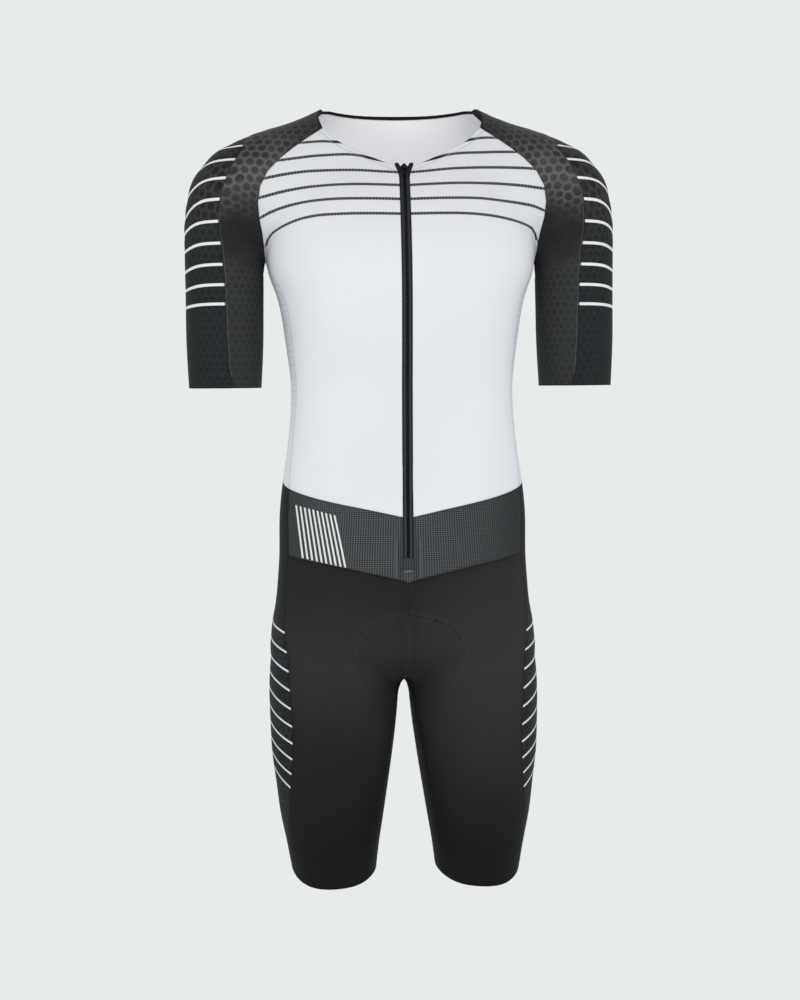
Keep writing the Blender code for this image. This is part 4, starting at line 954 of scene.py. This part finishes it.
# Painted light: lighter towards the wearer's left; painted shade: darker towards the hems. The knit
# is also lighter round the hips and down the middle between the legs.
black.feed("Base Color", black.layered(
    black.blend(black.mottle(6.0).rise(0.3, 0.7), (31, 31, 32), (36, 36, 37)),
    (x.rise(-0.02, 0.09) * 0.50, (49, 48, 49)), (taut * 0.66, (49, 48, 51)),
    (z.rise(-0.89, -0.72, 1.0, 0.0), (20, 20, 22)), (lit_edge * 0.13, (60, 59, 61)),
    (outline * x.rise(-0.03, 0.03, 0.55, 1.0), (14, 14, 15)), (sewn, (15, 15, 16))))
black.relief(black.knit(0.0008) * 0.5 - outline, 0.00015, 0.6)
for side in SIDES:
    for part in ("shorts_front", "shorts_back", "leg_inner"):
        node = f"{part}_{side}"
        cloth(node, black, {"cloth": round_leg, "pad": off_pad_edge}, tuck=0.00005)
        stitched(node, "hem", black_thread, lambda out, up: up < LEG_HEM, HEM_DEPTH)
        if part != "leg_inner":
            stitched(node, "seam", black_thread, lambda out, up: (out > 0.09) & (up > LEG_HEM))

# ---- Leg side panels ----
# Dark knit panels from the waist to the hem, printed with dots and with ten white stripes
# that rise outwards. They are flat-seamed between the shorts' fronts and backs.
# Columns: height 15, 44 and 74 mm round the leg from its outermost line, the last near the seam
LEG_STRIPES = np.array([
    (-0.6115, -0.6168, -0.6240), (-0.6310, -0.6374, -0.6460), (-0.6530, -0.6590, -0.6673),
    (-0.6715, -0.6788, -0.6895), (-0.6910, -0.7000, -0.7108), (-0.7115, -0.7210, -0.7315),
    (-0.7315, -0.7410, -0.7519), (-0.7500, -0.7600, -0.7719), (-0.7680, -0.7794, -0.7913),
    (-0.7855, -0.7973, -0.8102),
])
LEG_LINES = [np.array([(0.0, far + 0.0025), (0.015, far), (0.044, half), (0.074, near),
                       (0.110, near - 0.010)]) for far, half, near in LEG_STRIPES]
LEG_DOT = 0.0090


def leg_dots(points):
    return round_leg(points) / (LEG_DOT, DOT_SHAPE * LEG_DOT)


leg_side = Finish("leg_side_striped", "black_striped_cloth")
_, _, z = leg_side.place()
# Painted shade: the dark line along the panel's rim
leg_side.feed("Base Color", leg_side.layered(
    leg_side.blend(leg_side.mottle(60.0, 1.0).rise(0.40, 0.62), (34, 36, 39), (44, 47, 50)),
    (dots_of(leg_side) * 0.8, (24, 26, 29)), (z.rise(-0.63, -0.57) * 0.72, (18, 19, 21)),
    (leg_side.rim(0.0003, 0.0020, 0.6), (18, 19, 20)),
    (leg_side.stripes(len(LEG_LINES), 0.0009, 0.0015), (218, 221, 223))))
leg_side.relief(leg_side.knit(0.0008), 0.00008, 0.5)
leg_print = printed(LEG_LINES, lowered(LEG_LINES, 0.0010, 0.0034, 2.5),
                    lambda points: round_leg(points)[:, 0])
leg_maps = {"cloth": round_leg, "dots": leg_dots, "print": leg_print}
for side in SIDES:
    cloth(f"leg_side_{side}", leg_side, leg_maps, unprinted, tuck=0.00005)
    stitched(f"leg_side_{side}", "hem", black_thread, lambda out, up: up < LEG_HEM, HEM_DEPTH)

# ---- Zip ----
# Two woven tapes are sewn to the fronts, with a row of moulded teeth between them. Their
# upper ends are folded outwards beside the slider, which is of lacquered metal.


def front_of(across, height):
    """Places on the front of the worn form, from distances across and heights."""
    points = np.column_stack([across, np.full(len(across), -0.13), height])
    for _ in range(8):
        move = np.array([0, 0.0004, 0])
        slope = (worn_form(points + move) - worn_form(points - move)) / 0.0008
        points[:, 1] -= worn_form(points) / np.minimum(slope, -0.3)
    return points


def tape_strip(name, side, rows, count, finish):
    """Strip of tape on the fronts. Rows: height, its inner and outer edge, and how far proud."""
    bm = bmesh.new()
    bmesh.ops.create_grid(bm, x_segments=5, y_segments=count, size=0.5)
    flat = corners(bm) + (0.5, 0.5, 0.0)
    height = rows[0, 0] + (rows[-1, 0] - rows[0, 0]) * flat[:, 1]
    inner, outer, proud = (np.interp(height, rows[:, 0], rows[:, k]) for k in (1, 2, 3))
    first_edge = inner if side == "left" else -outer
    places = front_of(first_edge + (outer - inner) * flat[:, 0], height)
    places += outward(places) * (proud + np.minimum(creases(places), 0.0001))[:, None]
    move_corners(bm, places)
    layer = bm.loops.layers.uv.new("cloth")
    for face in bm.faces:
        for loop in face.loops:
            loop[layer].uv = (abs(loop.vert.co.x), loop.vert.co.z)
    piece = built(name, bm, finish)
    solid = piece.modifiers.new("wall", "SOLIDIFY")
    solid.thickness, solid.offset = 0.0008, -1.0
    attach(piece, "suit")
    return piece


tape = Finish("zip_tape", "black_zip_tape", 0.8, 0.15)
x, y, z = tape.place()
# Painted highlight: two lighter lines down the tape, fainter higher up, over the tape's own weave
highlight_bands = abs(x).near(0.0032, 0.0012, 0.0009)
weave = ((abs(x) / 0.0006).off_centre() + (z / 0.0006).off_centre()).rise(0.2, 0.8)
lit = weave * 0.3 + highlight_bands * z.rise(-0.24, -0.10, 0.7, 0.35)
tape.feed("Base Color", tape.blend(lit, (17, 18, 20), (60, 63, 67)))
tape.relief(weave, 0.00008, 0.6)
# Rows: height, inner and outer edge, how far the strip stands proud of the form
STRIP = np.array([(-0.5300, 0.0001, 0.0062, -0.0001), (-0.0860, 0.0001, 0.0062, -0.0001),
                  (-0.0800, 0.0004, 0.0066, -0.0001), (-0.0768, 0.0020, 0.0070, -0.0001)])
EAR = np.array([(-0.0890, 0.0050, 0.0063, 0.0002), (-0.0835, 0.0046, 0.0070, 0.0009),
                (-0.0800, 0.0040, 0.0086, 0.0012), (-0.0768, 0.0040, 0.0100, 0.0012),
                (-0.0740, 0.0058, 0.0110, 0.0012), (-0.0724, 0.0068, 0.0104, 0.0012)])
tapes = []
for side in SIDES:
    strip = tape_strip(f"zip_tape_{side}_strip", side, STRIP, 180, tape)
    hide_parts(f"zip_tape_{side}")
    tapes += [strip, tape_strip(f"zip_tape_{side}_ear", side, EAR, 14, tape)]

# The teeth are bevelled blocks on either side of the middle, which stand in each other's
# gaps. Three pairs are made, and doubled until the row is full.
TEETH_TOP, TEETH_FOOT, TEETH = -0.0760, -0.5290, 384
TOOTH, TOOTH_ASIDE, TOOTH_SUNK, TOOTH_BEVEL = (0.0024, 0.0010, 0.00052), 0.00045, 0.00015, 0.00012
pitch = (TEETH_TOP - TEETH_FOOT) / TEETH
bm = bmesh.new()
for n in range(3):
    for turned, drop in ((1, 0.0), (-1, pitch / 2)):
        place = (TOOTH_ASIDE * turned, -TOOTH_SUNK, TEETH_TOP - n * pitch - drop)
        bmesh.ops.create_cube(bm, size=1.0,
                              matrix=Matrix.Translation(place) @ Matrix.Diagonal((*TOOTH, 1)))
bmesh.ops.bevel(bm, geom=bm.edges[:], offset=TOOTH_BEVEL, affect="EDGES", segments=1, profile=0.5,
                material=-1)
made = 3
while made < TEETH:
    more = bmesh.ops.duplicate(bm, geom=bm.verts[:] + bm.edges[:] + bm.faces[:])["geom"]
    bmesh.ops.translate(bm, vec=(0, 0, -made * pitch),
                        verts=[item for item in more if isinstance(item, bmesh.types.BMVert)])
    made *= 2
spots = corners(bm)
spots[:, 1] += front_of(np.zeros(len(spots)), spots[:, 2])[:, 1]
move_corners(bm, spots)
teeth = Finish("zip_teeth", "black_zip_teeth", 0.55)
teeth.feed("Base Color", teeth.blend(teeth.mottle(400.0), (7, 7, 8), (18, 18, 20)))
row = built("zip_teeth_row", bm, teeth, smooth=False)
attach(row, "suit")
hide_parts("zip_teeth")

# The slider is a lacquered metal casting whose upper edge comes to a point. Its bridge
# carries the pull tab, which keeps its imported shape.
lacquer = Finish("black_lacquer", "black_slider", 0.22, 0.22)
# Painted glints: small light specks scattered over the black lacquer, on the slider and the pull tab
worn = lacquer.mottle(650.0).rise(0.63, 0.70)
lacquer.feed("Base Color", lacquer.blend(worn, (1, 1, 1), (95, 95, 97)))
lacquer.relief(lacquer.mottle(1500.0), 0.00003, 0.5)
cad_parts["pull_tab"].data.materials.clear()
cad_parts["pull_tab"].data.materials.append(lacquer.material)
bm = welded("zip_slider")
bmesh.ops.bisect_plane(bm, geom=bm.verts[:] + bm.edges[:] + bm.faces[:], plane_co=(0, 0, 0),
                       plane_no=(1, 0, 0))
SHOULDERS, CROWN, POINT, FALL = -0.0748, -0.0743, 0.0009, 0.94
for vert in bm.verts:
    if vert.co.z > CROWN or (vert.co.z > SHOULDERS and abs(vert.co.x) > 0.003):
        vert.co.z += POINT - FALL * abs(vert.co.x)
casting = built("slider_casting", bm, lacquer, smooth=False)
edged = casting.modifiers.new("edges", "BEVEL")
edged.width, edged.segments, edged.harden_normals = 0.00012, 2, False
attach(casting, "suit")
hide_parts("zip_slider")

# ---- Pad ----
# A moulded foam pad with a fleece face is sewn inside the shorts. Two channels are pressed
# into it, one on each side of the middle.
bm = welded("seat_pad")
squared(bm)
move_corners(bm, lifted_fork(corners(bm), 0.0125))
pad = Finish("pad_fleece", "grey_pad", 0.9, 0.15)
x, _, _ = pad.place()
channel = abs(x).near(0.020, 0.0022, 0.0014)
pad.feed("Base Color", pad.blend(pad.mottle(220.0).rise(0.3, 0.7) * 0.6 + channel * 0.4,
                                 (112, 114, 119), (84, 86, 91)))
pad.relief(pad.mottle(900.0) * 0.3 - channel, 0.0008, 0.6)
foam = built("seat_pad_foam", bm, pad)
rounded = foam.modifiers.new("rounded", "SUBSURF")
rounded.levels = rounded.render_levels = 2
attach(foam, "suit")
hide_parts("seat_pad")
